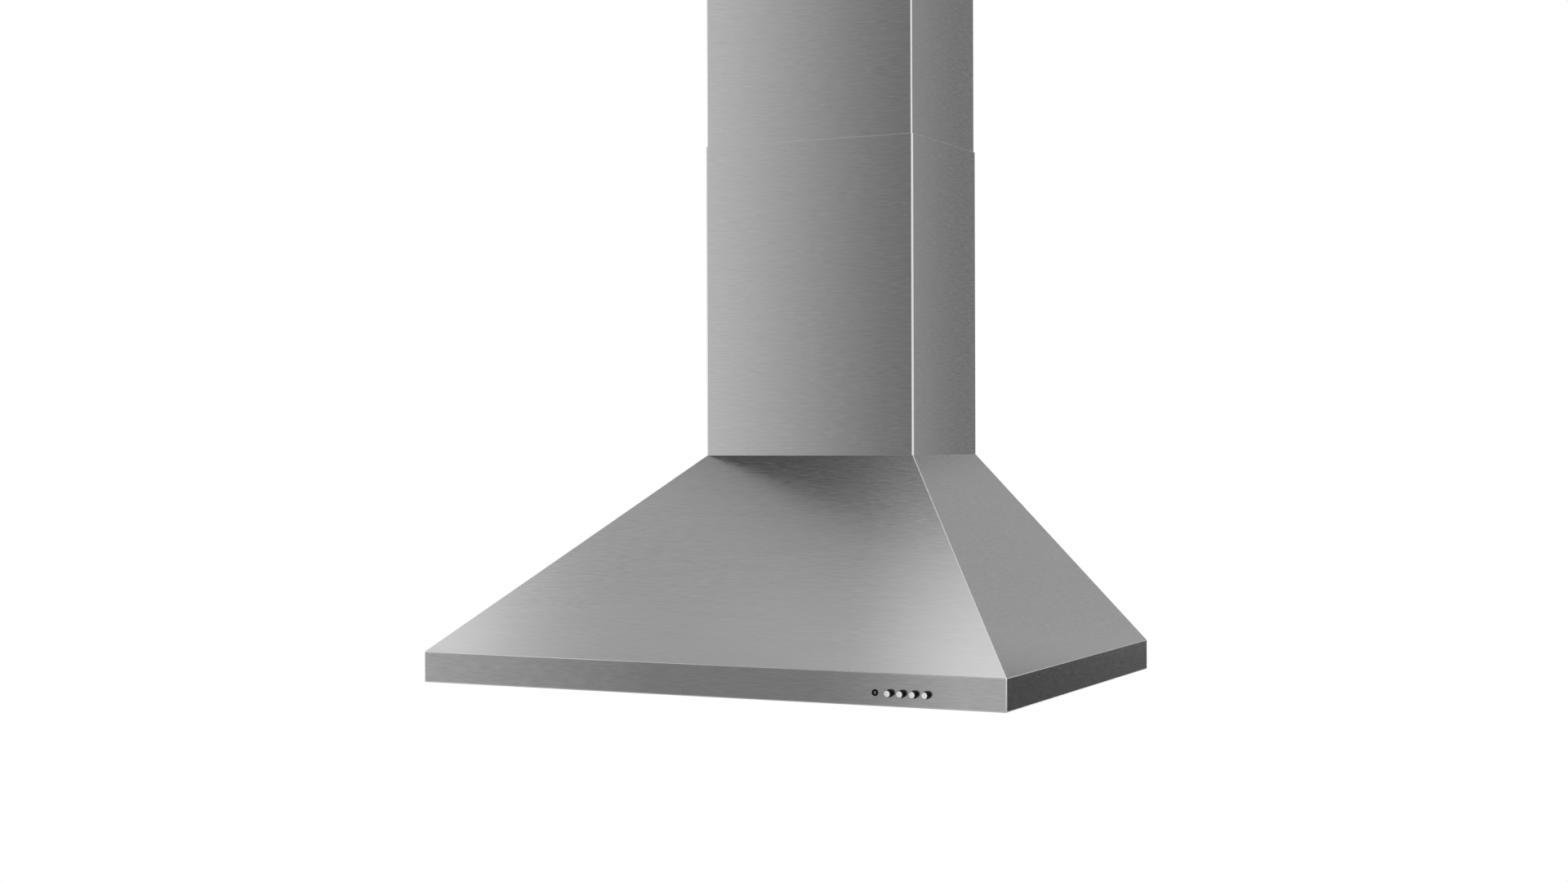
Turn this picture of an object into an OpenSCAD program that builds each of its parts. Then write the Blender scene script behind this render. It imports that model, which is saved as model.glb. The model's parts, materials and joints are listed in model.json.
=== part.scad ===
// Wall chimney range hood: a pyramid canopy of bent stainless panels, a telescoping chimney,
// and the blower, grease filters, lamps and push-button controls that they carry.
// X runs left to right, Y from the front to the wall, Z up. The origin is on the wall plane,
// at the middle of the rim's bottom edge, and the hood stands in front of the wall at Y below 0.

/* [Canopy] */
// Width of the canopy across its rim
hood_w = 900; // [890:10:1100]
// Depth of the canopy from the wall to the front of the rim
hood_d = 600; // [590:5:700]
// Height of the upright rim
rim_h = 44; // [42:1:60]
// Height from the bottom of the rim to the foot of the chimney
canopy_h = 326; // [280:2:400]
// Thickness of the stainless sheet
sheet_t = 1; // [0.8:0.1:1.2]
// Width of the lip turned in under the front
front_lip = 46; // [44:1:56]
// Width of the lips turned in under the sides
side_lip = 30; // [24:1:34]
// Width of the lip turned in under the back
rear_lip = 26; // [22:1:36]
// Height of the upstand along the inner edge of the lips
lip_up = 14; // [12:1:16]
// Height of the underside tray above the bottom of the rim
deck_z = 21; // [20:1:26]

/* [Chimney] */
// Width of the lower chimney cover
chimney_w = 345; // [344:1:380]
// Depth of the lower chimney cover
chimney_d = 250; // [250:1:280]
// Height of the lower chimney cover
lower_h = 474; // [420:2:600]
// Height of the upper chimney cover
upper_h = 470; // [420:2:480]
// Height of the chimney's top above the bottom of the rim
total_h = 1100; // [1080:5:1180]
// Running gap between the two covers
cover_gap = 0.5; // [0.4:0.1:0.8]
// Outer bend radius of the chimney's front corners
bend_r = 2.5; // [2:0.1:4]
// Width of the flanges turned in at the back of the covers
cover_flange = 18; // [12:1:24]
// Number of air slots in each side of the upper cover
slot_count = 6; // [4:1:8]
// Length of an air slot
slot_l = 70; // [40:5:100]
// Height of an air slot
slot_h = 4; // [3:0.5:5]
// Distance from one air slot to the next
slot_pitch = 9; // [8:0.5:12]

/* [Grease filters] */
// Width of one filter
filter_w = 262; // [200:2:264]
// Length of one filter from front to back
filter_l = 340; // [280:5:350]
// Thickness of a filter's frame
filter_t = 9; // [8:0.5:10]
// Space between two filters
filter_gap = 10; // [8:0.5:11]
// Width of a filter's frame rail
rail_w = 12; // [10:1:18]
// Width of the front rail that holds the latch
latch_rail_w = 42; // [40:1:50]
// Pitch of the bars of the filter grille
grille_pitch = 14; // [11:1:24]
// Travel of a latch
latch_travel = 5; // [4.5:0.5:6]

/* [Lamps] */
// Diameter of a lamp's bezel
lamp_d = 64; // [50:1:66]
// Distance of a lamp from the middle of the hood
lamp_x = 270; // [200:5:300]
// Depth of the plain strip in front of the filters
lamp_zone = 96; // [86:1:100]

/* [Controls] */
// Diameter of a push button
button_d = 9.6; // [8:0.2:10.4]
// Distance from one push button to the next
button_pitch = 17.6; // [16.6:0.2:20]
// Distance of the first push button from the right side of the hood
button_inset = 163.5; // [150:0.5:210]
// Height of the push buttons above the bottom of the rim
button_z = 17.8; // [17:0.2:19]
// Height of a button in front of the rim
button_proud = 9; // [6:0.5:10]
// Travel of a push button
button_travel = 3; // [2:0.5:3.5]
// Diameter of the indicator's bezel
indicator_d = 9; // [7:0.2:10]
// Distance from the indicator to the first button
indicator_step = 20.5; // [17:0.5:24]

/* [Blower] */
// Width of the blower box
box_w = 300; // [290:2:306]
// Depth of the blower box
box_d = 206; // [202:1:208]
// Height of the blower box
box_h = 300; // [292:2:340]
// Diameter of the impeller
impeller_d = 176; // [160:2:180]
// Width of the impeller
impeller_w = 100; // [90:2:104]
// Number of blades round the impeller
blade_count = 36; // [20:1:40]
// Growth of the scroll from its tongue to its outlet
scroll_gain = 38; // [30:1:40]
// Diameter of the motor
motor_d = 80; // [60:2:90]
// Length of the motor
motor_l = 60; // [54:1:62]
// Diameter of the motor's shaft
shaft_d = 8; // [6:0.5:10]
// Outer diameter of the duct collar
duct_d = 150; // [148:1:154]
// Height of the duct collar
collar_h = 58; // [50:1:80]

/* [Hidden] */

// Values that all pieces share
overrun = 2;
seat_gap = 0.3;
pin_gap = 0.05;
screw_r = 2;
screw_head_r = 3.8;
screw_head_h = 2.2;
screw_hole_r = screw_r + seat_gap;
round_fn = 64;
small_fn = 32;
coil_rings = 12;
wire_sides = 6;

// The canopy's slopes, from the rim up to the chimney
side_run = (hood_w - chimney_w) / 2;
front_run = hood_d - chimney_d;
slope_rise = canopy_h - rim_h;
side_slope = atan2(slope_rise, side_run);
front_slope = atan2(slope_rise, front_run);
mitre_share = 0.1;

// The opening between the lips
lip_x = hood_w / 2 - side_lip;
lip_front_y = -(hood_d - front_lip);
lip_rear_y = -rear_lip;
tray_screw_x = 150;
tray_screw_z = (sheet_t + lip_up) / 2;
tray_screw_l = 9;

// The collar on the canopy's top plate that the chimney stands round
foot_up = 15;
foot_x = chimney_w / 2 - sheet_t - seat_gap;
foot_y = chimney_d - sheet_t - seat_gap;
foot_r = bend_r - sheet_t;
foot_bend = sheet_t / 2;

// Chimney
upper_foot_z = total_h - upper_h;
nest = sheet_t + cover_gap;
bend_steps = 5;
slot_top_gap = 20;
slot_mid_y = -chimney_d / 2;
bracket_t = 2;
bracket_h = 22;
bracket_drop = 34;
bracket_ear = 60;
bracket_pad_r = 12;
bracket_hole_r = 3;
bracket_hole_x = 100;
fixing_hole_r = 2.2;
fixing_setback = 40;

// Wall hangers
hanger_x = 200;
hanger_z = 212;
hanger_w = 70;
hanger_h = 38;
hanger_t = 3;
hanger_tongue = 9;
hanger_hole_r = 3;
hanger_hole_pitch = 40;
hanger_margin = 3;

// Grease filters
filter_step = filter_w + filter_gap;
filter_front_y = lip_front_y + lamp_zone;
filter_rear_y = filter_front_y + filter_l;
filter_top_z = deck_z - seat_gap;
filter_foot_z = filter_top_z - filter_t;
filter_skin = 1.2;
filter_lap = 3;
tab_w = 20;
tab_t = 1.5;
tab_reach = 5;
tab_x_share = 0.3;
grille_bar_w = 2.2;
grille_bar_t = 1.6;
grille_rim = 3;
latch_clear = 1;
latch_lap = latch_travel - latch_clear;
bolt_w = 20;
bolt_t = 2;
bolt_l = 26;
stem_l = 8;
stem_setback = 10;
handle_w = 48;
handle_t = 2.5;
handle_setback = 6;
handle_l = 24;
finger_t = 2;
finger_h = 5;
latch_spring_r = 3;
latch_spring_shut_l = 7;
latch_spring_l = latch_spring_shut_l + latch_travel;
latch_wire_r = 0.4;
latch_turns = 5;

// Lamps
lamp_y = lip_front_y + lamp_zone / 2;
lamp_flange_t = 1.5;
lamp_bezel_w = 5;
lamp_can_r = lamp_d / 2 - lamp_bezel_w;
lamp_can_h = 24;
lamp_wall = 1.5;
lens_t = 3;
lens_setback = 1;

// Controls
control_wall = 2;
control_margin = 13;
control_d = 36;
control_front_y = -(hood_d - sheet_t - seat_gap);
button_x = hood_w / 2 - button_inset;
control_x0 = button_x - indicator_step - control_margin;
control_x1 = button_x + 3 * button_pitch + control_margin;
control_z0 = sheet_t + seat_gap;
control_z1 = 2 * button_z - control_z0;
partition_setback = 10;
partition_y = control_front_y + partition_setback;
button_hole_gap = 0.4;
button_hole_r = button_d / 2 + button_hole_gap;
button_stop_w = 1.5;
button_stop_r = button_d / 2 + button_stop_w;
button_stop_t = 1.5;
button_dome = 1.2;
stem_r = 2.4;
stem_reach = 5;
board_t = 1.6;
switch_size = 7;
switch_h = 5;
button_wire_r = 0.3;
button_turns = 4;
board_y = partition_y + control_wall + stem_reach + button_travel + seat_gap + switch_h;
indicator_lap = 0.6;
indicator_hole_r = indicator_d / 2 - indicator_lap;
indicator_lip = 1.2;
indicator_l = 9;
indicator_wall = 1;
indicator_x = button_x - indicator_step;

// Blower box, which stands on the canopy's top plate
box_t = 1;
box_flange = 12;
box_back = 16;
box_y = -(box_back + box_d / 2);
box_top_z = canopy_h + box_h;
box_screw_share = 0.4;

// Scroll: its radius grows at a steady rate from the tongue round to the outlet
tongue_angle = 75;
outlet_angle = 360;
tongue_gap = 7;
tongue_r = impeller_d / 2 + tongue_gap;
scroll_steps = 38;
scroll_air = 4;
scroll_w = impeller_w + 2 * scroll_air;
plate_t = 1.2;
band_t = 1;
scroll_lap = 3;
scroll_side_gap = 2;
scroll_floor_gap = 10;
function spiral_r(a) =
    tongue_r + scroll_gain * (a - tongue_angle) / (outlet_angle - tongue_angle);
scroll_x = -(box_w / 2 - box_t - scroll_side_gap) + spiral_r(180) + scroll_lap;
scroll_z = canopy_h + scroll_floor_gap + spiral_r(270) + scroll_lap;
scroll_top_z = box_top_z - box_t - seat_gap;
tongue_x = tongue_r * cos(tongue_angle);
scroll_front_y = box_y - scroll_w / 2;
scroll_rear_y = box_y + scroll_w / 2;
hang_flange = 14;
hang_screw_l = 8;
hang_screw_share = 0.35;

// Impeller
blade_depth = 15;
blade_t = 1;
blade_sweep_angle = 11;
blade_steps = 4;
blade_out_r = impeller_d / 2 - blade_t;
blade_in_r = impeller_d / 2 - blade_depth;
rim_ring_t = 2.5;
rim_ring_w = 9;
disc_t = 2;
hub_r = 12;
hub_reach = 16;
nozzle_t = 1.2;
nozzle_lap = 3;
nozzle_inset = 5;
nozzle_r = blade_in_r - nozzle_inset;

// Motor
motor_gap = 20;
motor_front_y = box_y + motor_gap;
motor_edge = 4;
shaft_r = shaft_d / 2;
shaft_nose = 10;
shaft_in = 26;
bush_r = 7;
bush_h = 7;
bush_angles = [90, 210, 330];
bush_setback = 5;
bush_place_r = blade_in_r + bush_setback;
bracket_y = scroll_rear_y + plate_t + bush_h;
spider_t = 3;
spider_ring_w = 9;
spider_arm_w = 15;
motor_flange_w = 5;
motor_flange_t = 3;
motor_screw_past = 2;

// Capacitor and terminal box, on top of the blower box
capacitor_r = 15;
capacitor_l = 56;
service_inset = 46;
service_x = -(box_w / 2 - service_inset);
capacitor_edge = 8;
capacitor_y = box_y - box_d / 2 + capacitor_edge;
clip_t = 1.2;
clip_w = 16;
clip_foot = 9;
terminal_w = 80;
terminal_d = 90;
terminal_h = 38;
terminal_t = 2;
terminal_edge = 8;
terminal_y = box_y + box_d / 2 - terminal_edge - terminal_d / 2;
lid_lap = 3;
gland_r = 4.5;
gland_body_r = 8;
gland_nut_r = 10;
gland_nut_t = 5;
gland_l = 16;
gland_z_share = 0.5;
gland_fit = 0.1;

// Duct collar and its two non-return flaps
collar_t = 2;
collar_flange = 9;
collar_flange_t = 2;
collar_x = scroll_x + (tongue_x + spiral_r(outlet_angle)) / 2;
collar_inner_r = duct_d / 2 - collar_t;
ledge_w = 4;
ledge_t = 2;
ledge_rise = 8;
ledge_z = box_top_z + ledge_rise;
bar_w = 16;
flap_t = 1.6;
flap_gap = 0.6;
barrel_r = 2.2;
flap_pin_r = 1.5;
pin_setback = 0.3;
flap_axis_x = 5;
flap_axis_z = ledge_z + ledge_t + seat_gap + barrel_r;

// Half width or depth of the canopy at height z, with the wall moved in by inset
function slope_reach(full, slope, z, inset) = full - (z - rim_h) / tan(slope) - inset / sin(slope);

// Height of the bend between rim and slope, with the wall moved in by inset
function bend_z(slope, inset) = rim_h - inset * (1 - sin(slope)) / cos(slope);

// Outline of the canopy seen from the front
function front_view(inset, low, high) = [
    [-(hood_w / 2 - inset), low],
    [hood_w / 2 - inset, low],
    [hood_w / 2 - inset, bend_z(side_slope, inset)],
    [slope_reach(hood_w / 2, side_slope, high, inset), high],
    [-slope_reach(hood_w / 2, side_slope, high, inset), high],
    [-(hood_w / 2 - inset), bend_z(side_slope, inset)]
];

// Outline of the canopy seen from the side, with its back at the given place
function side_view(inset, low, high, back) = [
    [back, low],
    [back, high],
    [-slope_reach(hood_d, front_slope, high, inset), high],
    [-(hood_d - inset), bend_z(front_slope, inset)],
    [-(hood_d - inset), low]
];

// Extrudes an outline of X and Z along Y, from y0 to y1
module along_y(y0, y1) {
    translate([0, y1, 0])
        rotate([90, 0, 0])
            linear_extrude(y1 - y0)
                children();
}

// Extrudes an outline of Y and Z along X, from x0 to x1
module along_x(x0, x1) {
    translate([x0, 0, 0])
        rotate([90, 0, 90])
            linear_extrude(x1 - x0)
                children();
}

// A box given by its two corners
module block(low, high) {
    translate(low)
        cube(high - low);
}

// A round bar along Y from y0 to y1
module rod_y(x, z, r, y0, y1, fn = small_fn) {
    translate([x, y1, z])
        rotate([90, 0, 0])
            cylinder(h = y1 - y0, r = r, $fn = fn);
}

// A pan-head screw with its head on the plane z = 0 and its shank downwards
module screw(length) {
    cylinder(h = screw_head_h, r = screw_head_r, $fn = small_fn);
    translate([0, 0, -length])
        cylinder(h = length + screw_head_h / 2, r = screw_r, $fn = small_fn);
}

// An unbroken helical spring along Z: rings of points swept round the axis, with capped ends
module coil_spring(coil_r, wire_r, length, turns) {
    rings = turns * coil_rings;
    sides = wire_sides;
    rise = length - 2 * wire_r;
    points = [
        for (i = [0:rings], k = [0:sides - 1])
            let (turn = 360 * turns * i / rings, out = coil_r - wire_r + wire_r * cos(360 * k / sides))
                [out * cos(turn), out * sin(turn), wire_r + rise * i / rings + wire_r * sin(360 * k / sides)]
    ];
    walls = [
        for (i = [0:rings - 1], k = [0:sides - 1])
            let (next = (k + 1) % sides)
                [[i * sides + k, (i + 1) * sides + next, i * sides + next],
                 [i * sides + k, (i + 1) * sides + k, (i + 1) * sides + next]]
    ];
    faces = concat(
        [for (pair = walls, face = pair) face],
        [[for (k = [0:sides - 1]) k]],
        [[for (k = [sides - 1:-1:0]) rings * sides + k]]
    );
    polyhedron(points = points, faces = faces);
}

// The canopy as a solid, with its walls moved in by inset
module canopy_form(inset, low, high, back) {
    intersection() {
        along_y(-hood_d, back)
            polygon(front_view(inset, low, high));
        along_x(-hood_w / 2, hood_w / 2)
            polygon(side_view(inset, low, high, back));
    }
}

// The bent sheet of the canopy before it is parted at the hips: slopes, rim, lips and upstands
module canopy_sheet() {
    difference() {
        canopy_form(0, 0, canopy_h, 0);
        canopy_form(sheet_t, sheet_t, canopy_h + overrun, overrun);
        block([-lip_x, lip_front_y, -overrun], [lip_x, overrun, sheet_t + overrun]);
    }
    difference() {
        block([-lip_x - sheet_t, lip_front_y - sheet_t, 0], [lip_x + sheet_t, 0, lip_up]);
        block([-lip_x, lip_front_y, -overrun], [lip_x, overrun, lip_up + overrun]);
    }
}

// Plan of the front panel, parted from the side panels along the hips
module front_sector() {
    out_x = hood_w / 2 + mitre_share * side_run;
    out_y = hood_d + mitre_share * front_run;
    in_x = chimney_w / 2 - mitre_share * side_run;
    in_y = chimney_d - mitre_share * front_run;
    translate([0, 0, -overrun])
        linear_extrude(canopy_h + 2 * overrun)
            polygon([[-out_x, -out_y], [out_x, -out_y], [in_x, -in_y], [-in_x, -in_y]]);
}

// Plan of the right side panel
module side_sector() {
    out_x = hood_w / 2 + mitre_share * side_run;
    out_y = hood_d + mitre_share * front_run;
    in_x = chimney_w / 2 - mitre_share * side_run;
    in_y = chimney_d - mitre_share * front_run;
    translate([0, 0, -overrun])
        linear_extrude(canopy_h + 2 * overrun)
            polygon([[out_x, -out_y], [out_x, overrun], [in_x, overrun], [in_x, -in_y]]);
}

// Front panel: slope, rim with its control holes, lip and upstand in one bent sheet
module canopy_front_panel() {
    color("silver")
        difference() {
            intersection() {
                canopy_sheet();
                front_sector();
            }
            for (i = [0:3])
                rod_y(button_x + i * button_pitch, button_z, button_hole_r,
                      -(hood_d + overrun), -(hood_d - sheet_t - overrun));
            rod_y(indicator_x, button_z, indicator_hole_r,
                  -(hood_d + overrun), -(hood_d - sheet_t - overrun));
            for (side = [-1, 1])
                rod_y(side * tray_screw_x, tray_screw_z, screw_hole_r,
                      lip_front_y - sheet_t - overrun, lip_front_y + overrun);
        }
}

module canopy_right_panel() {
    color("lightgray")
        intersection() {
            canopy_sheet();
            side_sector();
        }
}

module canopy_left_panel() {
    mirror([1, 0, 0])
        canopy_right_panel();
}

// Opening in the back panel that a wall hanger reaches through
module hanger_opening(side) {
    half = hanger_w / 2 + hanger_margin;
    block([side * hanger_x - half, -(sheet_t + overrun), hanger_z - hanger_h - hanger_margin],
          [side * hanger_x + half, overrun, hanger_z + seat_gap]);
}

// Back panel between the side panels, with its own lip under the tray's rear edge
module canopy_back_panel() {
    x = lip_x - seat_gap;
    color("gray")
        difference() {
            union() {
                intersection() {
                    canopy_form(sheet_t + seat_gap, 0, canopy_h, 0);
                    block([-hood_w / 2, -sheet_t, 0], [hood_w / 2, 0, canopy_h]);
                }
                block([-x, lip_rear_y, 0], [x, 0, sheet_t]);
                block([-x, lip_rear_y, 0], [x, lip_rear_y + sheet_t, lip_up]);
            }
            for (side = [-1, 1]) {
                translate([side * (x + hood_w / 2), 0, 0])
                    block([-hood_w / 2, -(rear_lip + overrun), -overrun],
                          [hood_w / 2, overrun, lip_up + seat_gap]);
                hanger_opening(side);
                rod_y(side * tray_screw_x, tray_screw_z, screw_hole_r,
                      lip_rear_y - overrun, lip_rear_y + sheet_t + overrun);
            }
        }
}

// Top plate that closes the canopy, carries the blower box and locates the chimney
module canopy_top_plate() {
    x = slope_reach(hood_w / 2, side_slope, canopy_h, sheet_t) - seat_gap;
    y = slope_reach(hood_d, front_slope, canopy_h, sheet_t) - seat_gap;
    back = sheet_t + seat_gap;
    open_x = box_w / 2 - box_flange;
    open_y = box_d / 2 - box_flange;
    color("darkgray")
        difference() {
            union() {
                block([-x, -y, canopy_h - sheet_t], [x, -back, canopy_h]);
                translate([0, 0, canopy_h])
                    linear_extrude(foot_up)
                        difference() {
                            polygon(cover_plan(foot_x, -foot_y, -back, foot_r));
                            polygon(cover_plan(foot_x - sheet_t, sheet_t - foot_y, overrun,
                                               foot_r - foot_bend));
                        }
            }
            block([-open_x, box_y - open_y, canopy_h - sheet_t - overrun],
                  [open_x, box_y + open_y, canopy_h + overrun]);
            for (place = box_screw_places())
                translate([place[0], place[1], canopy_h - sheet_t - overrun])
                    cylinder(h = sheet_t + 2 * overrun, r = screw_hole_r, $fn = small_fn);
        }
}

// Underside tray with the filter openings, their rear tab notches and the lamp holes
module underside_tray() {
    x = lip_x - seat_gap;
    front = lip_front_y + seat_gap;
    back = lip_rear_y - seat_gap;
    color("silver")
        difference() {
            block([-x, front, sheet_t], [x, back, deck_z + sheet_t]);
            block([-x + sheet_t, front + sheet_t, -overrun], [x - sheet_t, back - sheet_t, deck_z]);
            for (i = [-1:1])
                translate([i * filter_step, 0, 0])
                    filter_opening();
            for (side = [-1, 1]) {
                translate([side * lamp_x, lamp_y, deck_z - overrun])
                    cylinder(h = sheet_t + 2 * overrun, r = lamp_can_r + seat_gap, $fn = round_fn);
                rod_y(side * tray_screw_x, tray_screw_z, screw_hole_r,
                      front - overrun, front + sheet_t + overrun);
                rod_y(side * tray_screw_x, tray_screw_z, screw_hole_r,
                      back - sheet_t - overrun, back + overrun);
            }
        }
}

// Opening for one filter, with a notch behind it for each rear tab
module filter_opening() {
    half = filter_w / 2 - filter_lap;
    block([-half, filter_front_y + filter_lap, deck_z - overrun],
          [half, filter_rear_y - filter_lap, deck_z + sheet_t + overrun]);
    for (side = [-1, 1])
        translate([side * tab_x_share * filter_w, 0, 0])
            block([-tab_w / 2 - filter_skin, filter_rear_y - filter_lap - overrun, deck_z - overrun],
                  [tab_w / 2 + filter_skin, filter_rear_y + seat_gap, deck_z + sheet_t + overrun]);
}

// Four screws that hold the tray to the upstands of the front and rear lips
module tray_screws() {
    color("dimgray")
        for (side = [-1, 1]) {
            translate([side * tray_screw_x, lip_front_y + seat_gap + sheet_t, tray_screw_z])
                rotate([-90, 0, 0])
                    screw(tray_screw_l);
            translate([side * tray_screw_x, lip_rear_y - seat_gap - sheet_t, tray_screw_z])
                rotate([90, 0, 0])
                    screw(tray_screw_l);
        }
}

// Plan outline of a chimney cover: a rectangle whose two front corners are bent to a radius
function cover_plan(half_w, front, back, r) = concat(
    [[half_w, back], [-half_w, back]],
    [for (i = [0:bend_steps])
        let (a = 180 + 90 * i / bend_steps)
            [-half_w + r + r * cos(a), front + r + r * sin(a)]],
    [for (i = [0:bend_steps])
        let (a = 270 + 90 * i / bend_steps)
            [half_w - r + r * cos(a), front + r + r * sin(a)]]
);

// A chimney cover: front and sides bent from one sheet, with flanges turned in at the back
module cover_shell(half_w, front, back, r, height) {
    linear_extrude(height)
        difference() {
            polygon(cover_plan(half_w, front, back, r));
            polygon(cover_plan(half_w - sheet_t, front + sheet_t, back - sheet_t, r - sheet_t));
            translate([-(half_w - cover_flange), back - sheet_t - overrun])
                square([2 * (half_w - cover_flange), sheet_t + 2 * overrun]);
        }
}

module lower_chimney_cover() {
    color("silver")
        translate([0, 0, canopy_h])
            cover_shell(chimney_w / 2, -chimney_d, 0, bend_r, lower_h);
}

// Upper cover, which slides inside the lower one, with air slots near its top
module upper_chimney_cover() {
    half = chimney_w / 2 - nest;
    top_slot_z = total_h - slot_top_gap;
    color("gainsboro")
        difference() {
            translate([0, 0, upper_foot_z])
                cover_shell(half, -(chimney_d - nest), -nest, bend_r - sheet_t / 2, upper_h);
            for (side = [-1, 1], i = [0:slot_count - 1])
                translate([side * half, slot_mid_y, top_slot_z - i * slot_pitch])
                    block([-(sheet_t + overrun), -slot_l / 2, -slot_h / 2],
                          [sheet_t + overrun, slot_l / 2, slot_h / 2]);
            for (side = [-1, 1])
                translate([side * half, -fixing_setback, total_h - bracket_drop])
                    rotate([0, 90, 0])
                        cylinder(h = 2 * (sheet_t + overrun), r = fixing_hole_r, center = true,
                                 $fn = small_fn);
        }
}

// Bracket on the wall near the chimney's top, with two ears inside the upper cover
module chimney_wall_bracket() {
    half = chimney_w / 2 - nest - sheet_t - seat_gap;
    front = -(nest + sheet_t + seat_gap);
    z = total_h - bracket_drop;
    color("darkgray")
        difference() {
            union() {
                block([-half, front - bracket_t, z - bracket_h / 2], [half, front, z + bracket_h / 2]);
                for (side = [-1, 1]) {
                    translate([side * (half - bracket_t / 2), 0, z])
                        block([-bracket_t / 2, front - bracket_ear, -bracket_h / 2],
                              [bracket_t / 2, front, bracket_h / 2]);
                    rod_y(side * bracket_hole_x, z, bracket_pad_r, front - bracket_t / 2, 0);
                }
            }
            for (side = [-1, 1]) {
                rod_y(side * bracket_hole_x, z, bracket_hole_r, front - bracket_t - overrun, overrun);
                translate([side * (half - bracket_t / 2), -fixing_setback, z])
                    rotate([0, 90, 0])
                        cylinder(h = bracket_t + 2 * overrun, r = fixing_hole_r - seat_gap,
                                 center = true, $fn = small_fn);
            }
        }
}

// Two hangers screwed to the wall; the back panel hangs on them behind their tongues
module wall_hangers() {
    color("dimgray")
        for (side = [-1, 1])
            difference() {
                along_x(side * hanger_x - hanger_w / 2, side * hanger_x + hanger_w / 2)
                    polygon([
                        [0, hanger_z - hanger_h],
                        [0, hanger_z],
                        [-(sheet_t + seat_gap), hanger_z],
                        [-(sheet_t + seat_gap), hanger_z + hanger_tongue],
                        [-hanger_t, hanger_z + hanger_tongue],
                        [-hanger_t, hanger_z - hanger_h]
                    ]);
                for (hole = [-1, 1])
                    rod_y(side * hanger_x + hole * hanger_hole_pitch / 2, hanger_z - hanger_h / 2,
                          hanger_hole_r, -(hanger_t + overrun), overrun);
            }
}

// Filter frame: a channel all round, a wide front rail with the latch slot and two rear tabs
module filter_frame(x) {
    half = filter_w / 2;
    window_x = half - rail_w;
    window_y0 = filter_front_y + latch_rail_w;
    window_y1 = filter_rear_y - rail_w;
    slot_y0 = filter_front_y + stem_setback - seat_gap;
    slot_y1 = filter_front_y + stem_setback + stem_l + latch_spring_l + seat_gap;
    slot_x = bolt_w / 2 + seat_gap;
    color("lightslategray")
        translate([x, 0, 0])
            difference() {
                union() {
                    block([-half, filter_front_y, filter_foot_z], [half, filter_rear_y, filter_top_z]);
                    for (side = [-1, 1])
                        translate([side * tab_x_share * filter_w, 0, 0])
                            filter_tab();
                }
                block([-window_x, window_y0, filter_foot_z - overrun],
                      [window_x, window_y1, filter_top_z + overrun]);
                block([-half + filter_skin, window_y0 - grille_rim, filter_foot_z + filter_skin],
                      [half - filter_skin, filter_rear_y - filter_skin, filter_top_z - filter_skin]);
                block([-slot_x, slot_y0, filter_foot_z - overrun],
                      [slot_x, slot_y1, filter_top_z + overrun]);
            }
}

// Rear tab: it stands up through its notch and hooks over the tray behind the filter
module filter_tab() {
    hook_z = deck_z + sheet_t + seat_gap;
    block([-tab_w / 2, filter_rear_y - tab_t, filter_top_z - filter_skin],
          [tab_w / 2, filter_rear_y, hook_z + tab_t]);
    block([-tab_w / 2, filter_rear_y - tab_t, hook_z],
          [tab_w / 2, filter_rear_y + tab_reach, hook_z + tab_t]);
}

// Filter grille: two crossed layers of bars in a rim that sits in the frame's channel
module filter_grille(x) {
    half = filter_w / 2 - filter_skin - seat_gap;
    y0 = filter_front_y + latch_rail_w - grille_rim + seat_gap;
    y1 = filter_rear_y - filter_skin - seat_gap;
    mid_z = (filter_foot_z + filter_top_z) / 2;
    span = filter_w + filter_l;
    bars = ceil(span / (2 * grille_pitch));
    color("gray")
        translate([x, 0, mid_z])
            intersection() {
                block([-half, y0, -overrun * filter_t], [half, y1, overrun * filter_t]);
                union() {
                    difference() {
                        block([-half, y0, -grille_bar_t], [half, y1, grille_bar_t]);
                        block([-half + rail_w, y0 + grille_rim, -grille_bar_t - overrun],
                              [half - rail_w, y1 - rail_w, grille_bar_t + overrun]);
                    }
                    translate([0, (y0 + y1) / 2, 0])
                        for (layer = [0, 1])
                            rotate([0, 0, layer == 0 ? 45 : -45])
                                for (i = [-bars:bars])
                                    translate([i * grille_pitch, 0, (layer - 1) * grille_bar_t])
                                        block([-grille_bar_w / 2, -span / 2, 0],
                                              [grille_bar_w / 2, span / 2, grille_bar_t]);
                }
            }
}

// Filter latch: a bolt over the tray's edge, a stem through the rail and a pull below it
module filter_latch(x) {
    bolt_z = deck_z + sheet_t + seat_gap;
    bolt_y0 = filter_front_y + filter_lap - latch_lap;
    stem_y0 = filter_front_y + stem_setback;
    pull_z = filter_foot_z - seat_gap;
    pull_y0 = filter_front_y + handle_setback;
    color("black")
        translate([x, 0, 0]) {
            block([-bolt_w / 2, bolt_y0, bolt_z], [bolt_w / 2, bolt_y0 + bolt_l, bolt_z + bolt_t]);
            block([-bolt_w / 2, stem_y0, pull_z - handle_t / 2],
                  [bolt_w / 2, stem_y0 + stem_l, bolt_z + bolt_t / 2]);
            block([-handle_w / 2, pull_y0, pull_z - handle_t],
                  [handle_w / 2, pull_y0 + handle_l, pull_z]);
            block([-handle_w / 2, pull_y0 + handle_l - finger_t, pull_z - handle_t - finger_h],
                  [handle_w / 2, pull_y0 + handle_l, pull_z - handle_t / 2]);
        }
}

// Spring behind the latch's stem, in the slot of the front rail
module latch_spring(x) {
    y0 = filter_front_y + stem_setback + stem_l + seat_gap;
    color("lightgray")
        translate([x, y0, (filter_foot_z + filter_top_z) / 2])
            rotate([-90, 0, 0])
                coil_spring(latch_spring_r, latch_wire_r, latch_spring_l - seat_gap, latch_turns);
}

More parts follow.
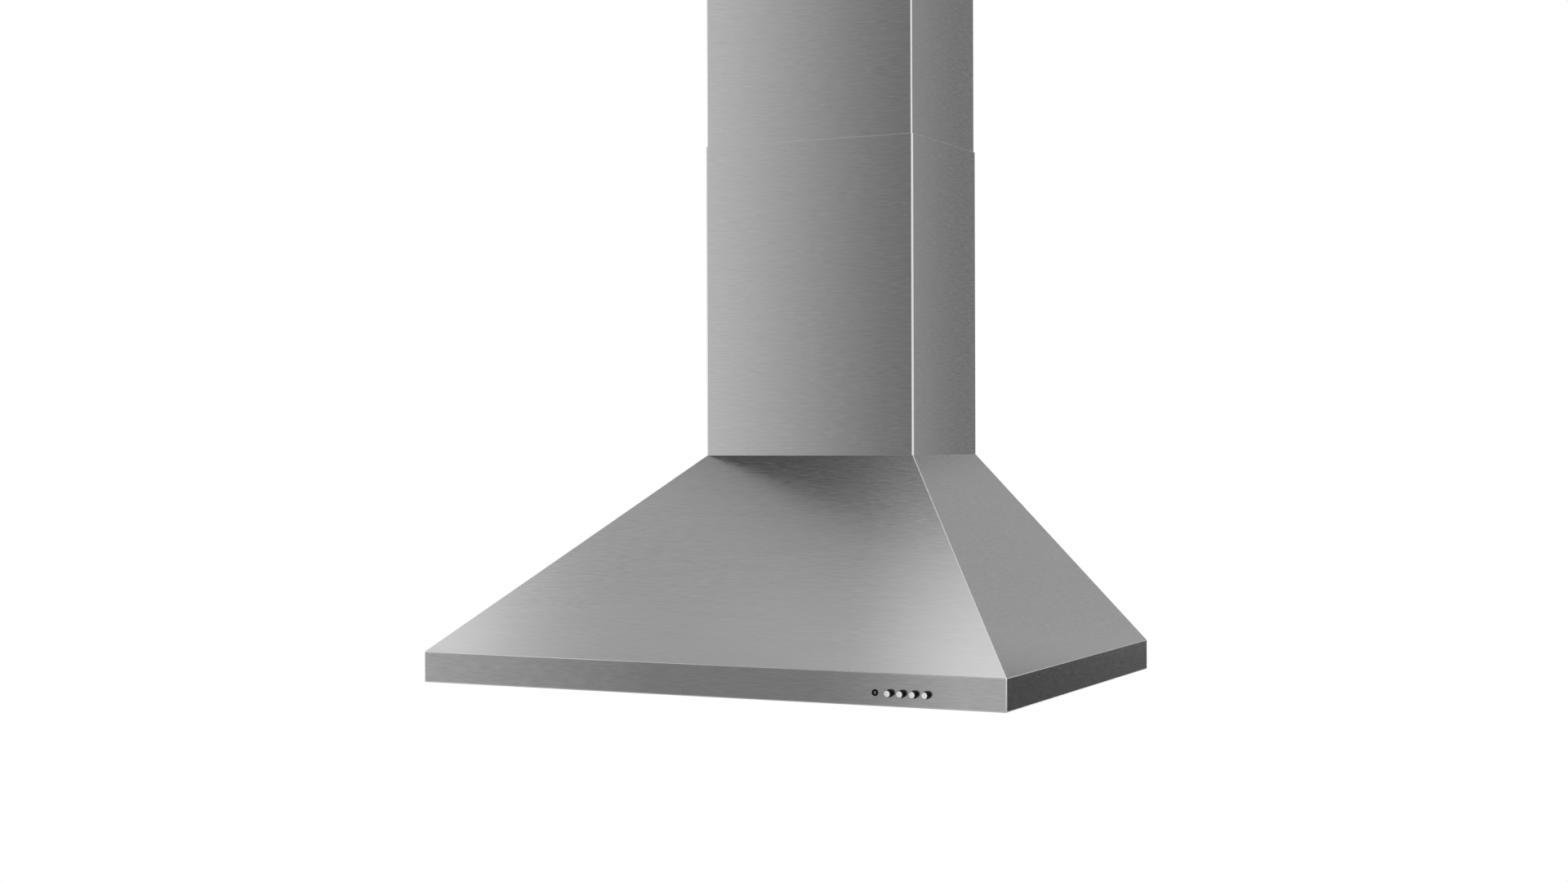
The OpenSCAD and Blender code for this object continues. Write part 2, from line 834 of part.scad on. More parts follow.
// Lamp housing: a bezel under the tray and a can that stands up through the lamp hole
module lamp_housing(x) {
    bezel_top = deck_z;
    color("silver")
        translate([x, lamp_y, bezel_top])
            rotate_extrude($fn = round_fn)
                polygon([
                    [lamp_can_r - lamp_wall - lens_setback, -lamp_flange_t],
                    [lamp_d / 2 - lamp_flange_t / 2, -lamp_flange_t],
                    [lamp_d / 2, -lamp_flange_t / 2],
                    [lamp_d / 2, 0],
                    [lamp_can_r, 0],
                    [lamp_can_r, lamp_can_h],
                    [0, lamp_can_h],
                    [0, lamp_can_h - lamp_wall],
                    [lamp_can_r - lamp_wall, lamp_can_h - lamp_wall],
                    [lamp_can_r - lamp_wall, 0],
                    [lamp_can_r - lamp_wall - lens_setback, 0]
                ]);
}

// Lens of a lamp: a shallow glass dish that rests on the bezel's inner edge
module lamp_lens(x) {
    r = lamp_can_r - lamp_wall - seat_gap;
    color("azure")
        translate([x, lamp_y, deck_z + seat_gap])
            rotate_extrude($fn = round_fn)
                polygon([
                    [0, 0],
                    [r, 0],
                    [r, lens_t],
                    [r - lens_t / 2, lens_t],
                    [r - lens_t, lens_t / 2],
                    [0, lens_t / 2]
                ]);
}

// Switch housing behind the rim: four walls round the buttons and a partition that guides them
module control_box() {
    rear = control_front_y + control_d;
    color("dimgray")
        difference() {
            block([control_x0, control_front_y, control_z0], [control_x1, rear, control_z1]);
            block([control_x0 + control_wall, control_front_y - overrun, control_z0 + control_wall],
                  [control_x1 - control_wall, partition_y, control_z1 - control_wall]);
            block([control_x0 + control_wall, partition_y + control_wall, control_z0 + control_wall],
                  [control_x1 - control_wall, rear + overrun, control_z1 - control_wall]);
            for (i = [0:3])
                rod_y(button_x + i * button_pitch, button_z, stem_r + pin_gap,
                      partition_y - overrun, partition_y + control_wall + overrun);
            rod_y(indicator_x, button_z, indicator_hole_r,
                  partition_y - overrun, partition_y + control_wall + overrun);
        }
}

module control_box_lid() {
    rear = control_front_y + control_d;
    inset = control_wall + seat_gap;
    color("black") {
        block([control_x0, rear, control_z0], [control_x1, rear + control_wall, control_z1]);
        block([control_x0 + inset, rear - control_wall, control_z0 + inset],
              [control_x1 - inset, rear + control_wall / 2, control_z1 - inset]);
    }
}

// Circuit board with one switch behind each button
module switch_board() {
    inset = control_wall + seat_gap;
    color("darkgreen") {
        block([control_x0 + inset, board_y, control_z0 + inset],
              [control_x1 - inset, board_y + board_t, control_z1 - inset]);
        for (i = [0:3])
            translate([button_x + i * button_pitch, board_y, button_z])
                block([-switch_size / 2, -switch_h, -switch_size / 2],
                      [switch_size / 2, board_t / 2, switch_size / 2]);
    }
}

// Push button i: a domed cap, a stop behind the rim and a stem through the partition
module push_button(i) {
    face = -(hood_d + button_proud);
    stop_y = -(hood_d - sheet_t - seat_gap);
    r = button_d / 2;
    dome_steps = 4;
    reach = stop_y + button_stop_t - face;
    tip = partition_y + control_wall + stem_reach - face;
    color("whitesmoke")
        translate([button_x + i * button_pitch, face, button_z])
            rotate([-90, 0, 0])
                rotate_extrude($fn = small_fn)
                    polygon(concat(
                        [[0, tip], [0, 0]],
                        [for (k = [1:dome_steps])
                            let (a = 90 * k / dome_steps)
                                [r - button_dome + button_dome * sin(a), button_dome * (1 - cos(a))]],
                        [
                            [r, stop_y - face],
                            [button_stop_r, stop_y - face],
                            [button_stop_r, reach],
                            [stem_r, reach],
                            [stem_r, tip]
                        ]
                    ));
}

// Return spring of button i, between its stop and the partition
module button_spring(i) {
    y0 = control_front_y + button_stop_t + seat_gap;
    color("lightgray")
        translate([button_x + i * button_pitch, y0, button_z])
            rotate([-90, 0, 0])
                coil_spring(stem_r + 2 * button_wire_r + seat_gap, button_wire_r,
                            partition_y - y0 - seat_gap, button_turns);
}

// Bezel of the indicator: a ring on the rim with a barrel through it
module indicator_bezel() {
    barrel = indicator_hole_r - seat_gap;
    bore = barrel - indicator_wall;
    color("darkslategray")
        translate([indicator_x, -(hood_d + indicator_lip), button_z])
            rotate([-90, 0, 0])
                rotate_extrude($fn = small_fn)
                    polygon([
                        [bore, 0],
                        [indicator_d / 2 - indicator_lip / 2, 0],
                        [indicator_d / 2, indicator_lip / 2],
                        [indicator_d / 2, indicator_lip],
                        [barrel, indicator_lip],
                        [barrel, indicator_l],
                        [bore, indicator_l]
                    ]);
}

module indicator_lens() {
    r = indicator_hole_r - 2 * seat_gap - indicator_wall;
    color("dimgray")
        translate([indicator_x, -hood_d - indicator_lip / 2, button_z])
            rotate([-90, 0, 0])
                rotate_extrude($fn = small_fn)
                    polygon([
                        [0, 0],
                        [r / 2, indicator_lip / 6],
                        [r, indicator_lip / 2],
                        [r, indicator_l - indicator_lip],
                        [0, indicator_l - indicator_lip]
                    ]);
}

// Corner screws of the blower box's base flange
function box_screw_places() = [
    for (sx = [-1, 1], sy = [-1, 1])
        [sx * (box_w - box_flange) / 2, box_y + sy * box_screw_share * box_d]
];

// Screws of the scroll's hanging flanges, through the top of the blower box
function hang_screw_places() = [
    for (sx = [-1, 1], sy = [-1, 1])
        [collar_x + sx * hang_screw_share * duct_d, box_y + sy * (scroll_w / 2 + plate_t + hang_flange / 2)]
];

// Blower box: a housing with a base flange turned inwards and the outlet hole in its top
module blower_box() {
    half_d = box_d / 2;
    color("lightsteelblue")
        difference() {
            block([-box_w / 2, box_y - half_d, canopy_h], [box_w / 2, box_y + half_d, box_top_z]);
            block([-box_w / 2 + box_t, box_y - half_d + box_t, canopy_h + box_t],
                  [box_w / 2 - box_t, box_y + half_d - box_t, box_top_z - box_t]);
            block([-box_w / 2 + box_flange, box_y - half_d + box_flange, canopy_h - overrun],
                  [box_w / 2 - box_flange, box_y + half_d - box_flange, canopy_h + box_t + overrun]);
            translate([collar_x, box_y, box_top_z - box_t - overrun])
                cylinder(h = box_t + 2 * overrun, r = collar_inner_r, $fn = round_fn);
            for (place = box_screw_places())
                translate([place[0], place[1], canopy_h - overrun])
                    cylinder(h = box_t + 2 * overrun, r = screw_hole_r, $fn = small_fn);
            for (place = hang_screw_places())
                translate([place[0], place[1], box_top_z - box_t - overrun])
                    cylinder(h = box_t + 2 * overrun, r = screw_hole_r, $fn = small_fn);
        }
}

module blower_screws() {
    color("dimgray") {
        for (place = box_screw_places())
            translate([place[0], place[1], canopy_h + box_t])
                screw(hang_screw_l);
        for (place = hang_screw_places())
            translate([place[0], place[1], box_top_z])
                screw(hang_screw_l);
    }
}

// Outline of the scroll's air space, grown by lap: a spiral with a straight outlet upwards
module scroll_outline(lap, top) {
    polygon(concat(
        [for (i = [0:scroll_steps])
            let (a = tongue_angle + (outlet_angle - tongue_angle) * i / scroll_steps)
                (spiral_r(a) + lap) * [cos(a), sin(a)]],
        [[tongue_x - lap, 0]]
    ));
    translate([tongue_x - lap, 0])
        square([spiral_r(outlet_angle) - tongue_x + 2 * lap, top]);
}

// The strip wrapped round the scroll
module scroll_band() {
    top = scroll_top_z - scroll_z;
    color("lightgray")
        translate([scroll_x, 0, scroll_z])
            along_y(scroll_front_y, scroll_rear_y)
                difference() {
                    scroll_outline(band_t, top);
                    scroll_outline(0, top + overrun);
                }
}

// A side plate of the scroll, with its inlet nozzle and the flange that hangs it from the box
module scroll_plate() {
    top = scroll_top_z - scroll_z;
    half_w = scroll_w / 2;
    places = [for (place = hang_screw_places()) place[0] - scroll_x];
    translate([scroll_x, 0, scroll_z])
        difference() {
            union() {
                along_y(half_w, half_w + plate_t)
                    scroll_outline(scroll_lap, top);
                rod_y(0, 0, nozzle_r + nozzle_t, half_w - scroll_air - nozzle_lap, half_w + plate_t,
                      round_fn);
                block([tongue_x - scroll_lap, half_w, top - plate_t],
                      [spiral_r(outlet_angle) + scroll_lap, half_w + plate_t + hang_flange, top]);
            }
            rod_y(0, 0, nozzle_r, -overrun, half_w + plate_t + overrun, round_fn);
            for (x = places)
                translate([x, half_w + plate_t + hang_flange / 2, top - plate_t - overrun])
                    cylinder(h = plate_t + 2 * overrun, r = screw_hole_r, $fn = small_fn);
            for (a = bush_angles)
                rod_y(bush_place_r * cos(a), bush_place_r * sin(a), screw_hole_r,
                      half_w - overrun, half_w + plate_t + overrun);
        }
}

module scroll_rear_plate() {
    color("silver")
        translate([0, box_y, 0])
            scroll_plate();
}

module scroll_front_plate() {
    color("silver")
        translate([0, box_y, 0])
            mirror([0, 1, 0])
                scroll_plate();
}

// Forward-curved blade, as a bent strip that leans further forward towards its outer edge
function blade_side(shift) = [
    for (i = [0:blade_steps])
        let (
            s = i / blade_steps,
            r = blade_in_r + (blade_out_r - blade_in_r) * s,
            a = blade_sweep_angle * s * s + shift * blade_t / (2 * r) * 180 / PI
        )
            [r * cos(a), r * sin(a)]
];

function reversed(list) = [for (i = [len(list) - 1:-1:0]) list[i]];

// Double-inlet impeller: a ring of blades on a centre disc, tied by a rim ring at each end
module impeller() {
    color("dimgray")
        translate([scroll_x, box_y, scroll_z])
            difference() {
                union() {
                    along_y(-impeller_w / 2, impeller_w / 2)
                        for (i = [0:blade_count - 1])
                            rotate(360 * i / blade_count)
                                polygon(concat(blade_side(-1), reversed(blade_side(1))));
                    for (end = [-1, 1])
                        difference() {
                            rod_y(0, 0, impeller_d / 2, end * (impeller_w - rim_ring_t) / 2 - rim_ring_t / 2,
                                  end * (impeller_w - rim_ring_t) / 2 + rim_ring_t / 2, round_fn);
                            rod_y(0, 0, impeller_d / 2 - rim_ring_w, -impeller_w, impeller_w, round_fn);
                        }
                    rod_y(0, 0, blade_in_r + blade_depth / 2, -disc_t / 2, disc_t / 2, round_fn);
                    rod_y(0, 0, hub_r, -shaft_nose / 2, hub_reach);
                }
                rod_y(0, 0, shaft_r + pin_gap, -impeller_w, impeller_w);
            }
}

module motor_shaft() {
    color("lightgray")
        rod_y(scroll_x, scroll_z, shaft_r, box_y - shaft_nose, motor_front_y + shaft_in - overrun);
}

// Motor: a round can with domed edges, a fixing flange and a blind bore for the shaft
module motor_body() {
    r = motor_d / 2;
    flange_y = bracket_y + spider_t - motor_front_y;
    color("gray")
        translate([scroll_x, motor_front_y, scroll_z])
            rotate([-90, 0, 0])
                rotate_extrude($fn = round_fn)
                    polygon([
                        [shaft_r + pin_gap, 0],
                        [r - motor_edge, 0],
                        [r, motor_edge],
                        [r, flange_y],
                        [r + motor_flange_w, flange_y],
                        [r + motor_flange_w, flange_y + motor_flange_t],
                        [r, flange_y + motor_flange_t],
                        [r, motor_l - motor_edge],
                        [r - motor_edge, motor_l],
                        [0, motor_l],
                        [0, shaft_in],
                        [shaft_r + pin_gap, shaft_in]
                    ]);
}

// Three-armed bracket that holds the motor's flange in the scroll's rear inlet
module motor_bracket() {
    ring_r = motor_d / 2 + seat_gap;
    color("darkgray")
        translate([scroll_x, 0, scroll_z])
            difference() {
                union() {
                    rod_y(0, 0, ring_r + spider_ring_w, bracket_y, bracket_y + spider_t, round_fn);
                    for (a = bush_angles)
                        rotate([0, -a, 0]) {
                            block([0, bracket_y, -spider_arm_w / 2],
                                  [bush_place_r, bracket_y + spider_t, spider_arm_w / 2]);
                            rod_y(bush_place_r, 0, spider_arm_w / 2, bracket_y, bracket_y + spider_t);
                        }
                }
                rod_y(0, 0, ring_r, bracket_y - overrun, bracket_y + spider_t + overrun, round_fn);
                for (a = bush_angles)
                    rod_y(bush_place_r * cos(a), bush_place_r * sin(a), screw_hole_r,
                          bracket_y - overrun, bracket_y + spider_t + overrun);
            }
}

// Rubber bushes between the scroll's rear plate and the bracket's arms
module motor_bushes() {
    color("black")
        translate([scroll_x, 0, scroll_z])
            for (a = bush_angles)
                difference() {
                    rod_y(bush_place_r * cos(a), bush_place_r * sin(a), bush_r,
                          bracket_y - bush_h, bracket_y);
                    rod_y(bush_place_r * cos(a), bush_place_r * sin(a), screw_hole_r,
                          bracket_y - bush_h - overrun, bracket_y + overrun);
                }
}

module motor_screws() {
    color("silver")
        for (a = bush_angles)
            translate([
                scroll_x + bush_place_r * cos(a),
                bracket_y + spider_t,
                scroll_z + bush_place_r * sin(a)
            ])
                rotate([-90, 0, 0])
                    screw(spider_t + bush_h + plate_t + motor_screw_past);
}

// Run capacitor, lying on the blower box in its clip
module capacitor() {
    color("lightgray")
        translate([service_x, capacitor_y, box_top_z + clip_t + seat_gap + capacitor_r])
            rotate([-90, 0, 0])
                rotate_extrude($fn = small_fn)
                    polygon([
                        [0, 0],
                        [capacitor_r - clip_t, 0],
                        [capacitor_r, clip_t],
                        [capacitor_r, capacitor_l],
                        [0, capacitor_l]
                    ]);
}

// Saddle clip round the capacitor, with a foot on each side
module capacitor_clip() {
    y0 = capacitor_y + capacitor_l / 2 - clip_w / 2;
    mid_z = box_top_z + clip_t + seat_gap + capacitor_r;
    out_r = capacitor_r + seat_gap + clip_t;
    color("silver")
        translate([service_x, 0, 0])
            difference() {
                union() {
                    rod_y(0, mid_z, out_r, y0, y0 + clip_w);
                    block([-out_r, y0, box_top_z], [out_r, y0 + clip_w, mid_z]);
                    block([-out_r - clip_foot, y0, box_top_z],
                          [out_r + clip_foot, y0 + clip_w, box_top_z + clip_t]);
                }
                rod_y(0, mid_z, out_r - clip_t, y0 - overrun, y0 + clip_w + overrun);
            }
}

// Terminal box on the blower box, open at its top, with the gland's hole in its rear wall
module terminal_box() {
    color("dimgray")
        translate([service_x, terminal_y, box_top_z])
            difference() {
                block([-terminal_w / 2, -terminal_d / 2, 0], [terminal_w / 2, terminal_d / 2, terminal_h]);
                block([-terminal_w / 2 + terminal_t, -terminal_d / 2 + terminal_t, terminal_t],
                      [terminal_w / 2 - terminal_t, terminal_d / 2 - terminal_t, terminal_h + overrun]);
                rod_y(0, gland_z_share * terminal_h, gland_body_r + gland_fit,
                      terminal_d / 2 - terminal_t - overrun, terminal_d / 2 + overrun);
            }
}

module terminal_lid() {
    inset = terminal_t + seat_gap;
    color("black")
        translate([service_x, terminal_y, box_top_z + terminal_h]) {
            block([-terminal_w / 2, -terminal_d / 2, 0], [terminal_w / 2, terminal_d / 2, terminal_t]);
            block([-terminal_w / 2 + inset, -terminal_d / 2 + inset, -lid_lap],
                  [terminal_w / 2 - inset, terminal_d / 2 - inset, terminal_t / 2]);
        }
}

// Cable gland in the terminal box's rear wall: a threaded body, a nut and the cable's bore
module cable_gland() {
    y0 = terminal_d / 2 - terminal_t - gland_nut_t;
    color("black")
        translate([service_x, terminal_y, box_top_z + gland_z_share * terminal_h])
            difference() {
                union() {
                    rod_y(0, 0, gland_body_r, y0, y0 + gland_l);
                    rod_y(0, 0, gland_nut_r, y0, y0 + gland_nut_t - seat_gap);
                    translate([0, terminal_d / 2 + seat_gap + gland_nut_t, 0])
                        rotate([90, 0, 0])
                            cylinder(h = gland_nut_t, r = gland_nut_r, $fn = 6);
                }
                rod_y(0, 0, gland_r, y0 - overrun, y0 + gland_l + overrun);
            }
}

// Duct collar: a flange on the blower box, a round spigot, the flaps' ledge and its cross bar
module duct_collar() {
    r = duct_d / 2;
    color("dimgray")
        translate([collar_x, box_y, 0])
            difference() {
                union() {
                    translate([0, 0, box_top_z])
                        difference() {
                            union() {
                                cylinder(h = collar_h, r = r, $fn = round_fn);
                                cylinder(h = collar_flange_t, r = r + collar_flange, $fn = round_fn);
                            }
                            translate([0, 0, -overrun])
                                cylinder(h = collar_h + 2 * overrun, r = collar_inner_r, $fn = round_fn);
                        }
                    translate([0, 0, ledge_z])
                        difference() {
                            cylinder(h = ledge_t, r = r - collar_t / 2, $fn = round_fn);
                            difference() {
                                translate([0, 0, -overrun])
                                    cylinder(h = ledge_t + 2 * overrun, r = collar_inner_r - ledge_w,
                                             $fn = round_fn);
                                block([-bar_w / 2, -r, -2 * overrun], [bar_w / 2, r, ledge_t + 2 * overrun]);
                            }
                        }
                }
                for (side = [-1, 1])
                    translate([0, 0, flap_axis_z])
                        rod_y(side * flap_axis_x, 0, flap_pin_r + pin_gap, -r - overrun, r + overrun);
                for (place = hang_screw_places())
                    translate([place[0] - collar_x, place[1] - box_y, box_top_z - overrun])
                        cylinder(h = collar_flange_t + 2 * overrun, r = screw_head_r + seat_gap,
                                 $fn = small_fn);
            }
}

// Right non-return flap: a half disc on a barrel whose end pins turn in the collar's wall
module flap_right() {
    r = collar_inner_r - flap_gap;
    reach = sqrt(r * r - flap_axis_x * flap_axis_x) - barrel_r;
    pin_end = sqrt(pow(duct_d / 2, 2) - pow(flap_axis_x + flap_pin_r, 2)) - pin_setback;
    color("gainsboro")
        translate([collar_x, box_y, flap_axis_z]) {
            intersection() {
                translate([0, 0, -barrel_r])
                    cylinder(h = flap_t, r = r, $fn = round_fn);
                block([flap_axis_x, -r, -barrel_r - flap_t], [r + overrun, r, flap_t]);
            }
            rod_y(flap_axis_x, 0, barrel_r, -reach, reach);
            rod_y(flap_axis_x, 0, flap_pin_r, -pin_end, pin_end);
        }
}

module flap_left() {
    translate([2 * collar_x, 0, 0])
        mirror([1, 0, 0])
            flap_right();
}

canopy_front_panel();
canopy_left_panel();
canopy_right_panel();
canopy_back_panel();
canopy_top_plate();
underside_tray();
tray_screws();
lower_chimney_cover();
upper_chimney_cover();
chimney_wall_bracket();
wall_hangers();
filter_frame(-filter_step);  // filter_frame_left
filter_frame(0);  // filter_frame_middle
filter_frame(filter_step);  // filter_frame_right
filter_grille(-filter_step);  // filter_grille_left
filter_grille(0);  // filter_grille_middle
filter_grille(filter_step);  // filter_grille_right
filter_latch(-filter_step);  // filter_latch_left
filter_latch(0);  // filter_latch_middle
filter_latch(filter_step);  // filter_latch_right
latch_spring(-filter_step);  // latch_spring_left
latch_spring(0);  // latch_spring_middle
latch_spring(filter_step);  // latch_spring_right
lamp_housing(-lamp_x);  // lamp_housing_left
lamp_housing(lamp_x);  // lamp_housing_right
lamp_lens(-lamp_x);  // lamp_lens_left
lamp_lens(lamp_x);  // lamp_lens_right
control_box();
control_box_lid();
switch_board();
push_button(0);  // light_button
push_button(1);  // speed_button_low
push_button(2);  // speed_button_mid
push_button(3);  // speed_button_high
button_spring(0);  // light_button_spring
button_spring(1);  // low_button_spring
button_spring(2);  // mid_button_spring
button_spring(3);  // high_button_spring
indicator_bezel();
indicator_lens();
blower_box();
blower_screws();
scroll_band();
scroll_front_plate();
scroll_rear_plate();
impeller();
motor_shaft();
motor_body();
motor_bracket();
motor_bushes();
motor_screws();
capacitor();
capacitor_clip();
terminal_box();
terminal_lid();
cable_gland();
duct_collar();
flap_left();
flap_right();
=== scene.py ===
"""The looks of a wall chimney range hood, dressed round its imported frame."""
import json
import math

import bmesh
import bpy
from mathutils import Matrix, Vector


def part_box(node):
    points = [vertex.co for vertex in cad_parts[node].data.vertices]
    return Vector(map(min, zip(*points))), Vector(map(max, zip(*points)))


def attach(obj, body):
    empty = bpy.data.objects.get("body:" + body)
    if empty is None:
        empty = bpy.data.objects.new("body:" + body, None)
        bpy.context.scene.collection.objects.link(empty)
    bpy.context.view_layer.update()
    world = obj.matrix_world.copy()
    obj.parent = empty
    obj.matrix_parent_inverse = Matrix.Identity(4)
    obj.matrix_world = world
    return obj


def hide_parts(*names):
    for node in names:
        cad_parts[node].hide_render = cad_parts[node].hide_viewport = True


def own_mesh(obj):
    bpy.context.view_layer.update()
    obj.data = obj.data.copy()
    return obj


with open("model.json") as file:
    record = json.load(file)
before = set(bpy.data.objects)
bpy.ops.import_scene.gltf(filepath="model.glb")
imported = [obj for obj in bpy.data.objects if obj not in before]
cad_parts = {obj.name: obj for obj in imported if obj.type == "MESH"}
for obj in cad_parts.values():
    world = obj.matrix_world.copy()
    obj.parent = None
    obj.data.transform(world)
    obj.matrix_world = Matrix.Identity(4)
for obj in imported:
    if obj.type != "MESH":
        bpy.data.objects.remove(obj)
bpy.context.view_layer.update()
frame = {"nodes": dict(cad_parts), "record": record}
scene = bpy.context.scene
scene.view_settings.view_transform = "Standard"
MM = 0.001
UP = Vector((0, 0, 1))
WHITE = (1, 1, 1, 1)

# Camera, fitted to twelve corners of the hood in the photograph. It turns by yaw, pitch and roll.
PHOTO_W_PX = 1920
FOCAL_PX = 2714.6
SHIFT_PX = 30
SENSOR_W = 36
CAMERA_AT = (1.4519, -3.2522, 0.348)
CAMERA_TURN = (-25.79, 0.633, -0.196)

# Studio, in metres
FLOOR_Z = -0.55
FLOOR_REACH = 9.0
FLOOR_TONE = 0.93
SHADOW_AT = (0, -0.3, FLOOR_Z)
SHADOW_R = 0.5
SHADOW_FADE_R = 1.2
ROOM_LIGHT = 0.85
SOFT_BOX_AT = Vector((-2.2, -2.8, 2.6))
SOFT_BOX_AIM = Vector((0, 0, 0.2))
SOFT_BOX_SIZE = 2.2
SOFT_BOX_WATTS = 40
CEILING_Z = 3.0
FLOOR_CARD_Z = -0.54

# Brushed grain. HAIR, LINE and BAND are cells per metre along the grain and across it.
HAIR_GRAIN = (60, 900, 1)
LINE_GRAIN = (45, 380, 1)
BAND_GRAIN = (8, 60, 1)
LINE_SHARE = 0.55
BAND_SHARE = 0.12
BRUSHED_TONE = 0.6
BRUSHED_ROUGHNESS = 0.16
ROUGHNESS_SWING = 0.04
BRUSHED_ANISOTROPY = 0.5
QUARTER_TURN = 0.25
# The bends and sheared edges get a paler base colour, a painted highlight, and a rougher finish.
PAINTED_HIGHLIGHT_TONE = 0.92
NARROW_FACE_ROUGHNESS = 0.32
NARROW_FACE_AREA = 0.0012
NEARLY_LEVEL = 0.1

# Other finishes. ZINC_CRYSTALS, ZINC_HAZE and FLOW_MARKS are cells per metre, and CLOUD_SIZE tells
# how many grains wide a cloud on plain metal is.
ZINC_CRYSTALS = 95
ZINC_HAZE = 700
FLOW_MARKS = 60
CLOUD_SIZE = 12
HAZE_SHARE = 0.35
CLOUD_SWING = 0.08
METAL_ROUGHNESS_SWING = 0.25

# Sheet metal
SHEET = 1 * MM
RIM_H = 44 * MM
LIP_UP = 14 * MM
FRONT_LIP = 46 * MM
SIDE_LIP = 30 * MM
BEND_R = 1.6 * MM
HIP_R = 1.25 * MM
SEAM_HALF = 0.3 * MM
CHIMNEY_BEND_R = 2.5 * MM
FLANGE_BEND_R = 1.4 * MM
FLANGE_W = 18 * MM
EDGE_ROUND = 0.48 * MM
HIP_STEPS = 4
ARC_STEPS = 5
HARD_EDGE = math.radians(50)
FLAT_ANGLE = math.radians(1)
EASED_ANGLE = math.radians(35)
MERGE_GAP = 0.002 * MM

# Air slots and fixing holes of the upper cover
SLOT_COUNT = 6
SLOT_PITCH = 9 * MM
SLOT_L = 70 * MM
SLOT_H = 4 * MM
SLOT_TOP_GAP = 20 * MM
CUTTER_REACH = 8 * MM
FIXING_R = 2.2 * MM
FIXING_DROP = 34 * MM
FIXING_SETBACK = 40 * MM

# Controls
BUTTONS = ["light_button", "speed_button_low", "speed_button_mid", "speed_button_high"]
BUTTON_R = 4.8 * MM
BUTTON_HOLE_R = 5.2 * MM
BUTTON_STOP_R = 6.3 * MM
BUTTON_STOP_T = 1.5 * MM
BUTTON_STOP_GAP = 0.3 * MM
STEM_R = 2.4 * MM
CAP_R = 4.2 * MM
CAP_DEPTH = 1.7 * MM
CAP_CROWN = 0.45 * MM
CAP_STEPS = 4
CAP_LINE = 0.1 * MM
BARREL_EDGE_R = 0.5 * MM
INDICATOR_HOLE_R = 3.9 * MM
INDICATOR_RING_T = 1.2 * MM
INDICATOR_EDGE_R = 0.6 * MM
INDICATOR_BARREL_R = 3.6 * MM
INDICATOR_BORE_R = 2.6 * MM
INDICATOR_BEVEL = 0.3 * MM
WINDOW_CROWN = 0.6 * MM
WINDOW_EDGE = 0.7 * MM
HOLE_EASE = 0.3 * MM
HOLE_MARGIN = 3 * MM

# Lamps. The slope of a lens ring is a share of its pitch, and the rings' reach one of the radius.
LAMP_FLANGE = 1.5 * MM
LAMP_EDGE_R = 0.9 * MM
LAMP_BORE_R = 24.5 * MM
LAMP_CAN_R = 27 * MM
LAMP_WALL = 1.5 * MM
LENS_T = 1.5 * MM
LENS_CROWN = 0.8 * MM
LENS_RING_PITCH = 2.4 * MM
LENS_RING_DEPTH = 0.22 * MM
LENS_RING_SLOPE = 0.15
LENS_RINGS_REACH = 0.9

# Pan-head screws. The cross is in shares of the head, and SHOULDER tells how soon the crown is level.
SCREW_HEAD_R = 3.8 * MM
SCREW_HEAD_H = 2.2 * MM
SCREW_R = 2 * MM
HEAD_FROM_R = 1.3 * SCREW_R
SCREW_SEED = 7
SHOULDER = 1.3
CROSS_REACH = 1.15
CROSS_W = 0.3
CROSS_DEPTH = 1.1

# Impeller
BLADES = 36
BLADE_STEPS = 8
BLADE_INNER_R = 73 * MM
BLADE_OUTER_R = 87 * MM
BLADE_SWEEP = math.radians(11)
BLADE_T = 1 * MM
IMPELLER_R = 88 * MM
RING_W = 9 * MM
RING_T = 2.5 * MM
DISC_R = 80.5 * MM
DISC_T = 2 * MM
HUB_R = 12 * MM
HUB_BACK = 5 * MM
HUB_FRONT = 16 * MM
HUB_BORE_R = 4.3 * MM

# Expanded mesh of the grease filters
MESH_CELL_W = 9 * MM
MESH_CELL_H = 6 * MM
STRAND_W = 1.25 * MM
STRAND_T = 0.45 * MM
STRAND_TILT = math.radians(32)
MESH_LAYERS = 2
LAYER_SHIFT = MESH_CELL_H / 4

# The body and the material slot of each node
node_body = {
    node: body
    for body, nodes in frame["record"]["behaviour"]["bodies"].items()
    for node in nodes
}
node_slot = {part["node"]: part["material_slot"] for part in frame["record"]["subparts"]}


def add_node(tree, kind, inputs=(), **settings):
    """Adds a node to a tree. Inputs go by name or number and take a value or another node's output."""
    made = tree.nodes.new(kind)
    for key, value in settings.items():
        setattr(made, key, value)
    for key, value in dict(inputs).items():
        if isinstance(value, bpy.types.NodeSocket):
            tree.links.new(value, made.inputs[key])
        else:
            made.inputs[key].default_value = value
    return made


# Camera, floor and light

def camera_at_the_photograph():
    """The photograph's camera, as the hood's corners give it."""
    yaw, pitch, roll = (math.radians(angle) for angle in CAMERA_TURN)
    turn = Matrix.Rotation(roll, 3, "Y") @ Matrix.Rotation(pitch, 3, "X") @ Matrix.Rotation(yaw, 3, "Z")
    right, forward, up = turn
    data = bpy.data.cameras.new("camera")
    data.sensor_width = SENSOR_W
    data.lens = FOCAL_PX / PHOTO_W_PX * SENSOR_W
    data.shift_x = -SHIFT_PX / PHOTO_W_PX
    data.shift_y = SHIFT_PX / PHOTO_W_PX
    camera = new_object("camera", data)
    place = Matrix((right, up, -forward)).transposed().to_4x4()
    place.translation = CAMERA_AT
    camera.matrix_world = place
    scene.camera = camera


def maths(tree, operation, a, b=0.0, c=0.0, clamped=False):
    return add_node(tree, "ShaderNodeMath", {0: a, 1: b, 2: c}, operation=operation,
                    use_clamp=clamped).outputs[0]


def times(tree, a, b):
    return maths(tree, "MULTIPLY", a, b)


